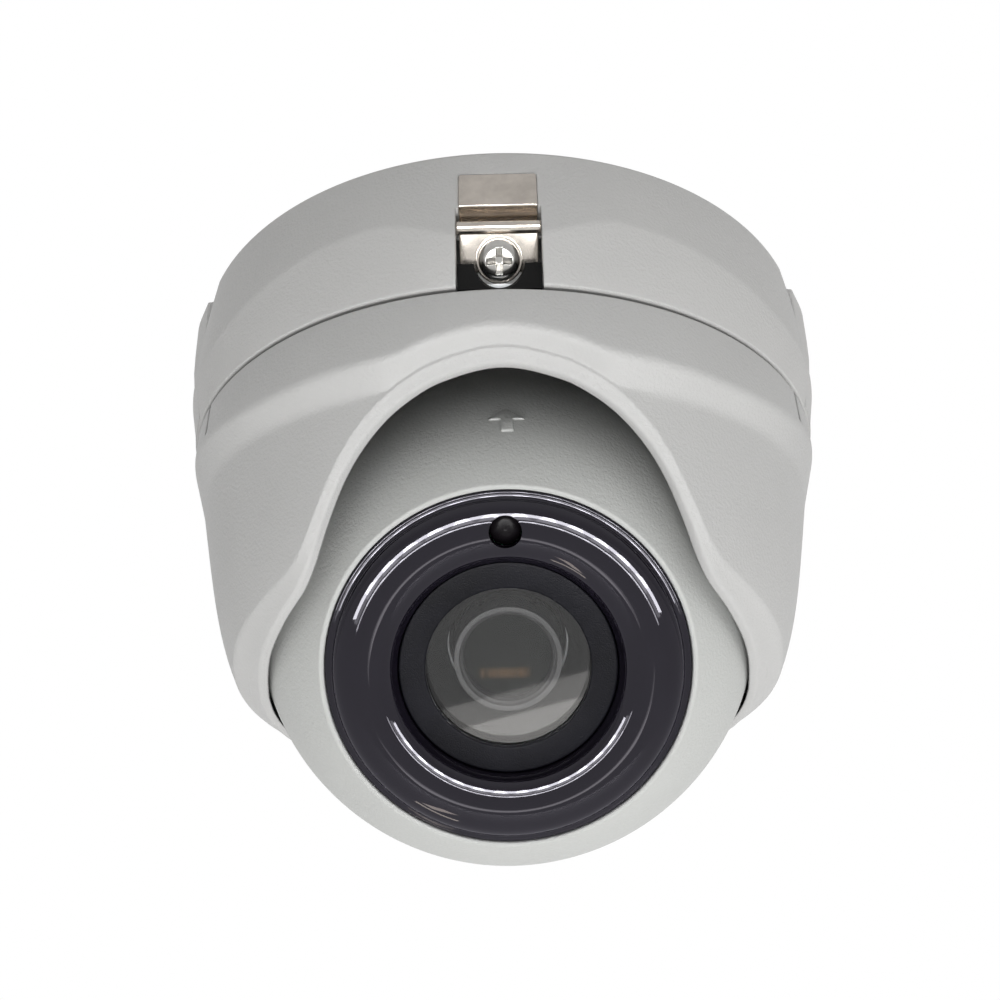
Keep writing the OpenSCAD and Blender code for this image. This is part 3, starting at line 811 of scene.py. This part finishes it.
@dataclass
class Base:
    """The painted base with its gasket and grommet."""

    shop: Workshop
    radius: float = 55.0
    height: float = 25.2
    bend: float = 12.9
    bend_radius: float = 56.1
    low_radius: float = 54.6
    tab: float = 19.5
    tab_top: float = 57.6
    steps: int = 384

    def band(self, a: float) -> float:
        """Depth of the edge where the wall starts to lean in.

        Args:
            a: Angle from the front in degrees.

        Returns:
            Depth below the ceiling in millimetres.
        """
        across = abs(self.radius * math.sin(math.radians(a)))
        dip = 3.9 * min(1.0, max(0.0, (16.5 - across) / 10.0)) if abs(a) < 60 else 0.0
        return self.bend + dip + 4.0 * smooth((min(abs(a), 180 - abs(a)) - 20) / 42)

    def section(self, a: float) -> list[Vector]:
        """One radial section of the base.

        Args:
            a: Angle from the front in degrees.

        Returns:
            Points of the closed section in millimetres.
        """
        b = self.band(a)
        outline = rounded([
            (11.0, 0, 0), (self.radius, 0, 0.7), (self.bend_radius, -b, 0.7),
            (self.low_radius, -self.height, 0.25), (51.6, -self.height, 0.3), (51.6, -3.5, 1.0),
            (11.0, -3.5, 0)], 4)
        s, c = math.sin(math.radians(a)), math.cos(math.radians(a))
        return [Vector((r * s, -r * c, z)) for r, z in outline]

    def side_tab(self, side: int) -> bpy.types.Object:
        """The raised tab on one side, flat-faced and leaning in like the wall.

        Args:
            side: 1 for +X, -1 for -X.

        Returns:
            The tab as an object.
        """
        w = self.tab
        plan = rounded([(50.5, -w, 0), (51.9, -w, 0.3), (56.2, -10.6, 5), (56.9, 0, 6), (56.2, 10.6, 5),
                        (51.9, w, 0.3), (50.5, w, 0)], 6)
        rows = []
        for z in (-24.7, -20.0, -15.0, -10.0, -5.0, -0.5, 0.0):
            limit = mix(self.tab_top, self.radius - 0.2, -z / self.height) - (0.3 if z == 0 else 0)
            rows.append([Vector((side * x * k, y * k, z)) for x, y in plan
                         for k in [min(1.0, limit / math.hypot(x, y))]])
        return mesh_object("tab", loft(rows, ring=False))

    def build(self) -> None:
        """Makes the base's pieces."""
        bm = loft([self.section(360 * k / self.steps - 180) for k in range(self.steps)])
        base = mesh_object("base_housing", bm, crisp=24)
        carve(base, [self.side_tab(side) for side in (1, -1)], 24, "UNION")
        cuts = [mesh_object("cut_notch", block((-6.4, -60, -26.5), (6.4, -49, -14.2))),
                mesh_object("cut_groove_room", block((-6.4, -60, -15.0), (6.4, -51.5, -11.4))),
                mesh_object("cut_face", block((-5.95, -60, -11.6), (5.95, -53.7, -4.76)))]
        for k in range(3):
            a = math.radians(90 + 120 * k)
            hole = lathe([(0, -8), (2.4, -8), (2.4, -0.9), (3.4, 0.2), (3.4, 3), (0, 3)], 48)
            bmesh.ops.translate(hole, vec=Vector((38 * math.cos(a), 38 * math.sin(a), 0)), verts=hole.verts)
            cuts.append(mesh_object("cut_hole", hole))
        groove = lathe([(44, -1.2), (48, -1.2), (48, 3), (44, 3)], 192)
        cuts.append(mesh_object("cut_groove", groove))
        lean = (Matrix.Translation((49.9, self.tab, 0)) @ Matrix.Rotation(math.radians(13.4), 4, "Z")
                @ Matrix.Rotation(math.radians(-15), 4, "Y"))
        for sx in (-1, 1):
            for sy in (-1, 1):
                scoop = block((0, 0, -12), (10, 14, 2), lean)
                bmesh.ops.transform(scoop, matrix=Matrix.Diagonal((sx, sy, 1, 1)), verts=scoop.verts)
                cuts.append(mesh_object("cut_scoop", scoop))
        carve(base, cuts, crisp=24)
        hooks = mesh_object("hooks", loft([
            [Vector((r * math.cos(a), r * math.sin(a), z))
             for r, z in ((51.8, -25.2), (49.2, -25.2), (49.2, -24), (51.8, -23.6))]
            for a in (math.radians(-10 + 200 * i / 90) for i in range(91))], ring=False))
        housing = joined("base_housing", [base, hooks])
        self.shop.hand_over(housing, "base_paint", "base", "mounting_base")

        gasket = lathe(rounded([(44.05, -1.15, 0), (47.95, -1.15, 0), (47.95, 0, 0.5), (46.6, 0, 0.4),
                                (46, -0.5, 0.4), (45.4, 0, 0.4), (44.05, 0, 0.5)], 4), 256)
        self.shop.hand_over(mesh_object("ceiling_gasket_ring", gasket), "rubber", "base", "ceiling_gasket")
        grommet = lathe(rounded([(6.0, -5, 0.5), (13, -5, 0.8), (13, -3.55, 0.3), (10.95, -3.55, 0),
                                 (10.95, -0.2, 0.6), (9.4, -0.2, 0.3), (9.0, -1.2, 0.4), (8.0, -1.2, 0.4),
                                 (7.6, -0.2, 0.3), (6.0, -0.2, 0.5)], 4), 128)
        self.shop.hand_over(mesh_object("cable_grommet_sleeve", grommet), "rubber", "base", "cable_grommet")


@dataclass
class Latch:
    """The nickel clasp, its washer and screw; the black block behind them is not made here."""

    shop: Workshop
    half: float = 5.9
    sheet: float = 1.0
    face: float = 54.6
    top: float = 4.8
    bend: float = 14.8
    tilt: float = 45.0
    flange: float = 6.6

    def clasp_outline(self) -> list[Point2]:
        """Side view of the clasp as (y, z): a plate, a deep groove and the flange.

        Returns:
            The closed outline.
        """
        c, s = math.cos(math.radians(self.tilt)), math.sin(math.radians(self.tilt))
        t, y = self.sheet, -self.face
        return rounded([
            (y + t, -self.top, 0.2), (y - 0.75, -self.top, 0.3), (y - 1.15, -11.4, 0.25),
            (y + 2.0, -11.8, 0.3), (y + 2.0, -13.6, 0.3), (y + 0.4, -15.0, 0.5),
            (y + self.flange * s, -self.bend - self.flange * c, 0.3),
            (y + self.flange * s + t * c, -self.bend - self.flange * c + t * s, 0.3),
            (y + 2.9, -self.bend - 0.3, 0.5), (y + 2.9, -11.3, 0.3), (y + t, -11.1, 0)], 5)

    def plate(self, name: str, outline: Sequence[Point2], half: float, middle: Point2) -> bpy.types.Object:
        """A prism across the latch with softened ends.

        Args:
            name: Object name.
            outline: Side view as (y, z).
            half: Half width.
            middle: Point of the outline that the ends shrink towards.

        Returns:
            The plate.
        """
        rows = [[Vector((x, mix(middle[0], y, k), mix(middle[1], z, k))) for y, z in outline]
                for x, k in ((-half, 0.94), (-half + 0.12, 0.985), (-half + 0.3, 1.0), (half - 0.3, 1.0),
                             (half - 0.12, 0.985), (half, 0.94))]
        return mesh_object(name, loft(rows, ring=False), crisp=40)

    def build(self) -> None:
        """Makes the latch's pieces."""
        y = -self.face
        plate = self.plate("plate", self.clasp_outline(), self.half, (y + 1.6, -12.0))
        hole = mesh_object("cut_hole", lathe([(0, -4), (1.6, -4), (1.6, 4), (0, 4)], 48), Axis.LATCH)
        carve(plate, [hole], 40)
        centre = (y + 0.45, -14.35)
        roll = self.plate("roll", arc(1.0, 0, 360, 40, centre)[:-1], self.half + 0.4, centre)
        self.shop.hand_over(joined("latch_clasp_plate", [plate, roll]), "nickel", "base", "latch_clasp")

        washer = lathe(rounded([(1.57, 0.05, 0.1), (3.6, 0.05, 0.15), (3.6, 0.55, 0.2),
                                (1.57, 0.55, 0.1)], 4), 96)
        self.shop.hand_over(mesh_object("latch_washer_disc", washer, Axis.LATCH), "nickel", "latch_slide",
                            "latch_washer")
        screw = Screw(shank=1.5, length=6.2, head=3.1, height=2.3, steps=128, cross=(0.64, 0.17)).build(
            "latch_screw_pan", lift=0.65)
        screw.data.transform(Matrix.Scale(MM, 4) @ frame_matrix(Axis.LATCH) @ Matrix.Scale(1 / MM, 4))
        self.shop.hand_over(screw, "screw_steel", "latch_turn", "latch_screw")


# ---- trim ring ----


@dataclass
class Turret:
    """The trim ring with its hood, and the screws that hold it to the pan ring."""

    shop: Workshop
    radius: float = 55.15
    top: float = 25.95
    rim: tuple[Point2, ...] = ((0, -37.1), (10, -38.7), (15, -40.5), (20, -43.1), (25, -46.8), (29, -50.7),
                               (33.5, -56.0), (37.5, -60.4), (42, -63.3), (50, -65.4), (57, -66.7),
                               (75, -68.9), (100, -70.6), (180, -71.4))
    wall: float = 1.8
    slot: float = 62.0
    steps: int = 512

    def edge(self, a: float) -> float:
        """Height of the opening's edge: the arch runs out into the lower rim."""
        return through(self.rim, a)

    def crease(self, a: float) -> tuple[float, float]:
        """Heights of the crease's upper and lower edges."""
        hump = (1 + math.cos(math.pi * min(1.0, a / 19))) / 2
        upper = -36.2 + 7.4 * smooth((a - 35) / 55) + 2.9 * hump
        lower = -39.6 + 2.3 * smooth((a - 20) / 60)
        lower = max(lower, self.edge(a) + self.lip(a) + 0.6)
        return max(upper, lower + 2.0), lower

    def lip(self, a: float) -> float:
        """Height of the bevel round the opening."""
        return 2.0 + 1.4 * smooth((a - 28) / 40)

    def lower_radius(self, z: float) -> float:
        """Outer radius below the crease."""
        t = max(-0.2, (-39.5 - z) / 31.5)
        return 51.9 - 5.9 * t - 3.6 * t ** 4 if t > 0 else 51.9 - 5.9 * t

    def upper_radius(self, z: float) -> float:
        """Outer radius above the crease."""
        return self.radius - 0.75 + 0.045 * (-self.top - z)

    @staticmethod
    def sphere(r: float, z: float) -> float:
        """Distance from the main axis to a sphere round the ball's centre."""
        return math.sqrt(max(0.0, r * r - (z + BALL_DROP) ** 2))

    def section(self, angle: float) -> list[Vector]:
        """One radial section.

        Args:
            angle: Angle from the front in degrees.

        Returns:
            Points of the closed section.
        """
        a = abs((angle + 180) % 360 - 180)
        e, lip = self.edge(a), self.lip(a)
        upper, lower = self.crease(a)
        lt = e + lip
        inset = 1.1 + 3.4 * smooth((a - 26) / 56)
        er = max(self.lower_radius(lt) - inset, self.sphere(BALL_R + 0.5, e) + 0.3)
        er_in = max(er - 1.4, self.sphere(BALL_R + 0.5, e + 0.2))
        top_r, low_r = self.upper_radius(upper), self.lower_radius(lower)
        gap = lower - lt
        start, end = lower - min(2.0, 0.5 * gap), lt + min(0.5, 0.25 * gap)
        outer = rounded([(47.4, -self.top, 0), (self.radius - 0.75, -self.top, 0.25), (top_r, upper, 1.1),
                         (low_r, lower, 1.1), (self.lower_radius(start), start, 0)], 6, closed=False)
        outer += [(self.lower_radius(mix(start, end, i / 14)), mix(start, end, i / 14)) for i in range(1, 15)]
        r0 = self.lower_radius(end)
        tail = rounded([(r0, end, 0), (self.lower_radius(lt), lt, 0.9),
                        (mix(r0, er, 0.5), mix(lt, e, 0.42), 0.9), (er, e, 0.55), (er_in, e + 0.2, 0)],
                       4, closed=False)[1:]
        inner: list[Point2] = []
        for i in range(1, 15):
            z = mix(e + 0.2, -28.9, (i / 14) ** 1.3)
            near = smooth((z - e - 2.0) / 0.8)
            out = self.upper_radius(z) if z > upper else self.lower_radius(z) if z < lower else \
                mix(top_r, low_r, (upper - z) / (upper - lower))
            inner.append((max(out - self.wall, self.sphere(BALL_R + mix(0.5, 1.5, near), z)), z))
        inner += [(52.45, -28.3), (47.4, -28.3)]
        s, c = math.sin(math.radians(angle)), math.cos(math.radians(angle))
        return [Vector((r * s, -r * c, z)) for r, z in outer + tail + inner]

    def build(self) -> None:
        """Makes the turret's pieces."""
        bm = loft([self.section(360 * k / self.steps) for k in range(self.steps)])
        ring = mesh_object("trim_ring_hood", bm, crisp=50)
        carve(ring, [mesh_object("cut_slot", block((-0.6, -56.7, -31.5), (0.6, -53.7, -23.5),
                                                   Matrix.Rotation(math.radians(side * self.slot), 4, "Z")))
                     for side in (1, -1)], 50)
        self.shop.hand_over(ring, "trim_paint", "turret", "trim_ring")
        template = Screw(1.2, 4, 2.2, 1.1).build("pan_screw")
        screws = self.shop.ring.lay("pan_ring_screw_set", template, 4, 45.6, 45, -23.35,
                                    self.shop.finishes.get("screw_steel"), Axis.ROW)
        self.shop.hand_over(screws, "screw_steel", "turret", "pan_ring_screws")


# ---- ball ----


@dataclass
class Ball:
    """The painted ball: front shell with its window rim and arrow, rear shell with its neck."""

    shop: Workshop
    wall: float = 3.0
    split: float = -6.0
    rim_d: float = 31.3
    window_r: float = 27.4
    screw_r: float = 34.4
    steps: int = 320

    def front_outline(self) -> list[Point2]:
        """Section of the front shell as (radius, distance along the lens axis)."""
        start = math.degrees(math.asin(self.split / BALL_R))
        end = math.degrees(math.asin(self.rim_d / BALL_R)) - 0.9
        inner_r = BALL_R - self.wall
        skin = arc(BALL_R, start + 0.45, end, 72)
        rim = rounded([(*skin[-1], 0), (28.05, self.rim_d, 0.55), (self.window_r, self.rim_d - 0.15, 0.3),
                       (self.window_r, 28.3, 0), (24.9, 28.3, 0), (24.9, 25.5, 0),
                       (math.sqrt(inner_r ** 2 - 25.5 ** 2), 25.5, 0)], 5, closed=False)[1:]
        inside = arc(inner_r, math.degrees(math.asin(25.5 / inner_r)),
                     math.degrees(math.asin(self.split / inner_r)), 24)
        edge = math.cos(math.radians(start)) * BALL_R
        return skin + rim + inside[1:] + [(edge - 0.3, self.split)]

    def rear_outline(self) -> list[Point2]:
        """Section of the rear shell with its neck."""
        inner_r = BALL_R - self.wall
        top = self.split - 0.03
        start = math.degrees(math.asin(top / BALL_R))
        neck = -math.degrees(math.acos(8 / BALL_R))
        edge = math.cos(math.radians(start)) * BALL_R
        skin = arc(BALL_R, start - 0.45, neck + 0.6, 72)
        stem = rounded([(*skin[-1], 0), (8, -41.6, 0.8), (8, -44.9, 0), (7.2, -44.9, 0), (7.2, -45.6, 0),
                        (8, -45.6, 0), (8, -46, 0.3), (4.3, -46, 0.2), (4.3, -38.76, 0)], 4, closed=False)[1:]
        inside = arc(inner_r, -math.degrees(math.acos(4.3 / inner_r)),
                     math.degrees(math.asin(top / inner_r)), 36)
        return [(edge - 0.3, top)] + skin + stem + inside[1:]

    def arrow(self) -> bpy.types.Object:
        """A low raised arrow on the shell above the window.

        Returns:
            The arrow as an object.
        """
        flat = [(-2.7, 0.1), (0, 2.5), (2.7, 0.1), (0.95, 0.1), (0.95, -2.5), (-0.95, -2.5), (-0.95, 0.1)]
        outline = rounded([(x, y, 0.3) for x, y in flat], 3)
        rows = []
        for scale, lift in ((1.06, -0.3), (1.06, 0.0), (1.0, 0.2), (0.9, 0.27)):
            rows.append([Vector((x * scale, y * scale,
                                 math.sqrt((BALL_R + lift) ** 2 - (x * x + y * y) * scale ** 2)))
                         for x, y in outline])
        bm = loft(rows, ring=False)
        place = Matrix.Rotation(math.radians(1.5), 4, "Y") @ Matrix.Rotation(math.radians(-59.5), 4, "X")
        bmesh.ops.transform(bm, matrix=place, verts=bm.verts)
        return mesh_object("arrow", bm, Axis.BALL, 60)

    def build(self) -> None:
        """Makes the ball's pieces."""
        front = mesh_object("front_shell", lathe(self.front_outline(), self.steps), Axis.BALL, 40)
        shell = joined("ball_front_cover", [front, self.arrow()])
        self.shop.hand_over(shell, "ball_paint", "ball", "ball_front_shell")
        rear = mesh_object("ball_rear_cover", lathe(self.rear_outline(), self.steps), Axis.BALL, 40)
        cuts = []
        for k in range(3):
            a = math.radians(90 + 120 * k)
            well = lathe([(0, -44), (3.2, -44), (3.2, -26), (0, -26)], 64)
            place = Vector((self.screw_r * math.cos(a), self.screw_r * math.sin(a), 12))
            bmesh.ops.translate(well, vec=place, verts=well.verts)
            cuts.append(mesh_object("cut_well", well, Axis.BALL))
        carve(rear, cuts, 40)
        sleeves = []
        for k in range(3):
            a = math.radians(90 + 120 * k)
            sleeve = lathe([(1.7, -14), (3.2, -14), (3.2, -18.5), (3.75, -18.2), (3.75, -7), (1.7, -7)], 64)
            place = Vector((self.screw_r * math.cos(a), self.screw_r * math.sin(a), 0))
            bmesh.ops.translate(sleeve, vec=place, verts=sleeve.verts)
            sleeves.append(mesh_object("sleeve", sleeve, Axis.BALL))
        self.shop.hand_over(joined("ball_rear_cover", [rear, *sleeves]), "ball_paint", "ball",
                            "ball_rear_shell")
        template = Screw(1.3, 22, 2.9, 2.0).build("shell_screw")
        template.data.transform(Matrix.Rotation(math.pi, 4, "X"))
        screws = self.shop.ring.lay("ball_shell_screw_set", template, 3, self.screw_r, 90, -14.05,
                                    self.shop.finishes.get("screw_steel"), Axis.BALL)
        self.shop.hand_over(screws, "screw_steel", "ball", "shell_screws")


@dataclass
class Face:
    """What shows in the ball's face: infrared window, collar, cover glass and lens."""

    shop: Workshop
    steps: int = 256

    def window_outline(self) -> list[Point2]:
        """Section of the infrared window: a rim, a bulge and a lip at the collar."""
        bulge_r, half, top = 21.6, 4.6, 33.5
        base = 28.95
        dome = [(bulge_r + half * math.cos(a), 31.0 + (top - 31.0) * math.sin(a) ** 0.9)
                for a in (math.pi * i / 28 for i in range(1, 28))]
        under = [(bulge_r + (half - 1.5) * math.cos(a), 30.4 + (top - 32.2) * math.sin(a))
                 for a in (math.pi * (12 - i) / 12 for i in range(0, 13))]
        outer = rounded([(27.3, base, 0), (27.3, 31.1, 0.6), (26.6, 31.15, 0.3), (*dome[0], 0)],
                        6, closed=False)
        inner = rounded([(*dome[-1], 0), (16.55, 30.6, 0.3), (16.5, base, 0), (18.5, base, 0)],
                        4, closed=False)
        return outer + dome[1:-1] + inner + under + [(24.7, base)]

    def build(self) -> None:
        """Makes the face's pieces."""
        shop = self.shop
        window = mesh_object("ir_window_ring", lathe(self.window_outline(), self.steps), Axis.BALL, 50)
        hole = lathe([(0, 20), (2.4, 20), (2.4, 40), (0, 40)], 64)
        bmesh.ops.translate(hole, vec=Vector((0, 21.6, 0)), verts=hole.verts)
        carve(window, [mesh_object("cut_hole", hole, Axis.BALL)], 50)
        shop.hand_over(window, "window_plastic", "ball", "ir_window")

        collar = lathe(rounded([(20, 16.05, 0.2), (20, 18, 0.2), (16.4, 18, 0), (16.4, 30.1, 0.35),
                                (12.4, 30.1, 0.3), (12.4, 29.1, 0.1), (13.6, 29.1, 0), (13.6, 16.05, 0)],
                               4), self.steps)
        shop.hand_over(mesh_object("lens_collar_ring", collar, Axis.BALL), "collar_black", "ball",
                       "lens_collar")

        baffle = lathe(rounded([(13.5, 17, 0), (13.5, 27.5, 0.2), (12.7, 27.5, 0.3), (11.9, 24.6, 1.5),
                                (9.6, 20.5, 0), (9.6, 17, 0)], 6), self.steps)
        shop.hand_over(mesh_object("glass_retainer_baffle", baffle, Axis.BALL), "black_plastic", "ball",
                       "glass_retainer")

        glass = lathe([(0, 27.6), (13.4, 27.6), (13.5, 27.7), (13.5, 28.95), (13.4, 29.05), (0, 29.05)],
                      self.steps)
        shop.hand_over(mesh_object("cover_glass_disc", glass, Axis.BALL), "clear_glass", "ball",
                       "cover_glass")

        tube = [(6, 9, 0), (6, 21, 0), (6.9, 21, 0.2), (8.3, 25.3, 0.1), (8.3, 25.6, 0.1), (7.5, 25.6, 0.1),
                (7.3, 25.1, 0.1), (6.95, 24.8, 0.1), (6.9, 22.0, 0), (5, 22.0, 0), (5, 9, 0)]
        barrel = lathe(rounded(tube, 4), self.steps)
        shop.hand_over(mesh_object("lens_barrel_tube", barrel, Axis.BALL), "barrel_black", "ball",
                       "lens_barrel")

        front = lathe([(0, 21.6), (4.9, 21.6), (4.9, 22.05), (6.85, 22.05), (6.85, 23.1)]
                      + arc(40.0, 80.2, 90, 20, (0, -16.3))[1:], self.steps)
        shop.hand_over(mesh_object("front_lens_element", front, Axis.BALL), "lens_glass", "ball",
                       "front_lens")


# ---- inside ----


@dataclass
class Inside:
    """Fasteners inside the ball; the lamps inside are not made here."""

    shop: Workshop

    def screw_ring(self, node: str, screw: Screw, count: int, radius: float, start: float, height: float,
                   down: bool, body: str = "ball") -> None:
        """Replaces a node of identical screws.

        Args:
            node: CAD node that they replace.
            screw: Sizes of one screw.
            count: Number of screws.
            radius: Radius of their circle.
            start: Angle of the first in degrees.
            height: Height of their seats.
            down: Whether the heads point down the axis.
            body: Body that they ride on.
        """
        template = screw.build(f"{node}_one")
        if down:
            template.data.transform(Matrix.Rotation(math.pi, 4, "X"))
        piece = self.shop.ring.lay(f"{node}_set", template, count, radius, start, height,
                                   self.shop.finishes.get("screw_steel"), Axis.BALL)
        self.shop.hand_over(piece, "screw_steel", body, node)

    def build(self) -> None:
        """Makes the pieces."""
        self.screw_ring("module_screws", Screw(1.1, 6, 2.2, 1.4), 3, 32.5, 30, 13.95, True)
        self.screw_ring("ir_board_screws", Screw(0.9, 2.6, 1.6, 0.9, 0.35, 32), 3, 26.3, 90, 24.2, True)
        self.screw_ring("sensor_board_screws", Screw(0.95, 5.5, 1.8, 1.2), 4, 20.5, 45, 3.95, True)
        self.screw_ring("main_board_screws", Screw(1.1, 6.5, 2.1, 1.4), 3, 22, 30, -7.75, False)


# ---- studio ----


@dataclass
class Studio:
    """Pale floor, soft lights and the camera."""

    distance: float = 230.0
    below: float = 28.08
    focal_px: float = 1288.0
    aim_z: float = -35.0
    roll: float = -0.0227
    centre: Point2 = (505.1, 520.8)
    room: float = 0.55
    ceiling: float = 0.75

    def floor(self) -> None:
        """Makes the floor."""
        bm = bmesh.new()
        bmesh.ops.create_grid(bm, x_segments=8, y_segments=8, size=4000)
        bmesh.ops.translate(bm, vec=Vector((0, 0, -900)), verts=bm.verts)
        floor = mesh_object("floor", bm)
        mat = bpy.data.materials.new("floor_pale")
        mat.use_nodes = True
        shader = mat.node_tree.nodes["Principled BSDF"]
        shader.inputs["Base Color"].default_value = (0.86, 0.86, 0.86, 1)
        shader.inputs["Roughness"].default_value = 0.8
        floor.data.materials.append(mat)

    def mirrored(self, r: float, azimuth: float, reach: float = 800.0) -> Vector:
        """The place that the camera sees mirrored in the window's bulge.

        Args:
            r: Distance from the lens axis.
            azimuth: Angle round the lens axis from its top, towards +X, in degrees.
            reach: Distance from the window.

        Returns:
            The place in millimetres.
        """
        down, turn = math.radians(LENS_DOWN), math.radians(azimuth)
        axis = Vector((0, -math.cos(down), -math.sin(down)))
        out = Vector((0, -math.sin(down), math.cos(down))) * math.cos(turn) + Vector((math.sin(turn), 0, 0))
        u = (r - 21.6) / 4.6
        tilt = math.atan(2.25 * u * (1 - u * u) ** -0.55 / 4.6) if abs(u) < 1 else 0.0
        normal = axis * math.cos(tilt) + out * math.sin(tilt)
        place = Vector((0, 0, -BALL_DROP)) + axis * 33 + out * r
        below = math.radians(self.below)
        eye = Vector((0, -math.cos(below), -math.sin(below))) * self.distance + Vector((0, 0, self.aim_z))
        view = eye - place
        view.normalize()
        return place + (2 * normal.dot(view) * normal - view) * reach

    def light(self, name: str, where: Sequence[float], size: Sequence[float], radiance: float,
              tint: Sequence[float] = (1, 1, 1), turn: float = 0.0, gleam: bool = False) -> None:
        """Adds a soft rectangular light that faces the camera's ball.

        Args:
            name: Light name.
            where: Place in millimetres.
            size: Width and height in millimetres.
            radiance: Brightness of its face; the background is 1.
            tint: Colour.
            turn: Turn about its own axis in degrees.
            gleam: Whether it only gives highlights; otherwise it only lights.
        """
        data = bpy.data.lights.new(name, "AREA")
        data.shape = "RECTANGLE"
        data.size, data.size_y = size[0] * MM, size[1] * MM
        data.energy = radiance * math.pi * data.size * data.size_y
        data.color = tint
        lamp = bpy.data.objects.new(name, data)
        lamp.visible_diffuse, lamp.visible_glossy = not gleam, gleam
        lamp.location = Vector(where) * MM
        aim = Vector((0, 0, -BALL_DROP)) - Vector(where)
        lamp.rotation_euler = (aim.to_track_quat("-Z", "Y").to_matrix()
                               @ Matrix.Rotation(math.radians(turn), 3, "Z")).to_euler()
        bpy.context.scene.collection.objects.link(lamp)

    def surroundings(self) -> None:
        """Sets the pale surroundings and the lights."""
        world = bpy.data.worlds.new("pale_room")
        world.use_nodes = True
        tree = world.node_tree
        back = tree.nodes["Background"]
        back.inputs["Color"].default_value = (1, 1, 1, 1)
        coord = tree.nodes.new("ShaderNodeTexCoord")
        ahead = tree.nodes.new("ShaderNodeVectorMath")
        ahead.operation = "DOT_PRODUCT"
        below = math.radians(self.below)
        ahead.inputs[1].default_value = (0, math.cos(below), math.sin(below))
        tree.links.new(coord.outputs["Generated"], ahead.inputs[0])
        height = tree.nodes.new("ShaderNodeSeparateXYZ")
        tree.links.new(coord.outputs["Generated"], height.inputs[0])
        brighter = tree.nodes.new("ShaderNodeMath")
        brighter.operation = "MAXIMUM"
        for k, (source, low, high, most) in enumerate(((ahead.outputs["Value"], 0.1, 0.85, 1.0),
                                                       (height.outputs["Z"], 0.0, 0.4, self.ceiling))):
            level = tree.nodes.new("ShaderNodeMapRange")
            for name, value in (("From Min", low), ("From Max", high),
                                ("To Min", self.room), ("To Max", most)):
                level.inputs[name].default_value = value
            tree.links.new(source, level.inputs["Value"])
            tree.links.new(level.outputs["Result"], brighter.inputs[k])
        tree.links.new(brighter.outputs[0], back.inputs["Strength"])
        bpy.context.scene.world = world
        for k in range(13):
            azimuth = -60 + 10 * k
            for name, r, high, radiance in (("arc", 24.1, 110, 20), ("band", 23.7, 110, 2.4),
                                            ("thin_arc", 23.2, 32, 9)):
                self.light(f"{name}_light_{k}", self.mirrored(r, azimuth), (160, high), radiance,
                           turn=-azimuth * 0.8, gleam=True)
        for k, height in enumerate((64, 36)):
            self.light(f"glass_card_{k}", self.mirrored(9.8, 174) - Vector((0, 0, 8 * k)), (170, height),
                       1.2 + 0.8 * k, (1, 0.98, 0.95), 14, True)
        self.light("warm_card_left", self.mirrored(24.2, -152), (150, 60), 5.0, (1, 0.9, 0.72), 40, True)
        self.light("warm_card_right", self.mirrored(18.9, 30), (150, 40), 5.0, (1, 0.88, 0.72), -30, True)
        self.light("key_softbox", (90, -413, -848), (500, 300), 17.6)
        self.light("right_softbox", (800, -300, -250), (260, 600), 2.0)
        bpy.context.scene.view_settings.view_transform = "Standard"

    def camera(self) -> None:
        """Makes the camera."""
        e = math.radians(self.below)
        ahead = Vector((0, math.cos(e), math.sin(e)))
        up = Vector((0, -math.sin(e), math.cos(e)))
        right = Vector((1, 0, 0))
        r = math.cos(self.roll) * right + math.sin(self.roll) * up
        u = -math.sin(self.roll) * right + math.cos(self.roll) * up
        data = bpy.data.cameras.new("camera")
        data.sensor_width = 36.0
        data.lens = self.focal_px * 36.0 / 1000.0
        data.shift_x = -(self.centre[0] - 500) / 1000.0
        data.shift_y = (self.centre[1] - 500) / 1000.0
        data.clip_start = 0.005
        cam = bpy.data.objects.new("camera", data)
        spin = Matrix((r, u, -ahead)).transposed().to_4x4()
        eye = Vector((0, 0, self.aim_z)) - self.distance * ahead
        cam.matrix_world = Matrix.Translation(eye * MM) @ spin
        bpy.context.scene.collection.objects.link(cam)
        bpy.context.scene.camera = cam

    def build(self) -> None:
        """Sets the whole stage."""
        self.floor()
        self.surroundings()
        self.camera()


def main() -> None:
    """Builds the camera's looks in order."""
    logging.basicConfig(level=logging.INFO, format="%(message)s")
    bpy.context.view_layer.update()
    shop = Workshop()
    shop.dress_nodes()
    builders: list[Callable[[], None]] = [
        Base(shop).build, Latch(shop).build, Turret(shop).build, Ball(shop).build, Face(shop).build,
        Inside(shop).build, Studio().build]
    for build in builders:
        build()


if __name__ == "__main__":
    main()
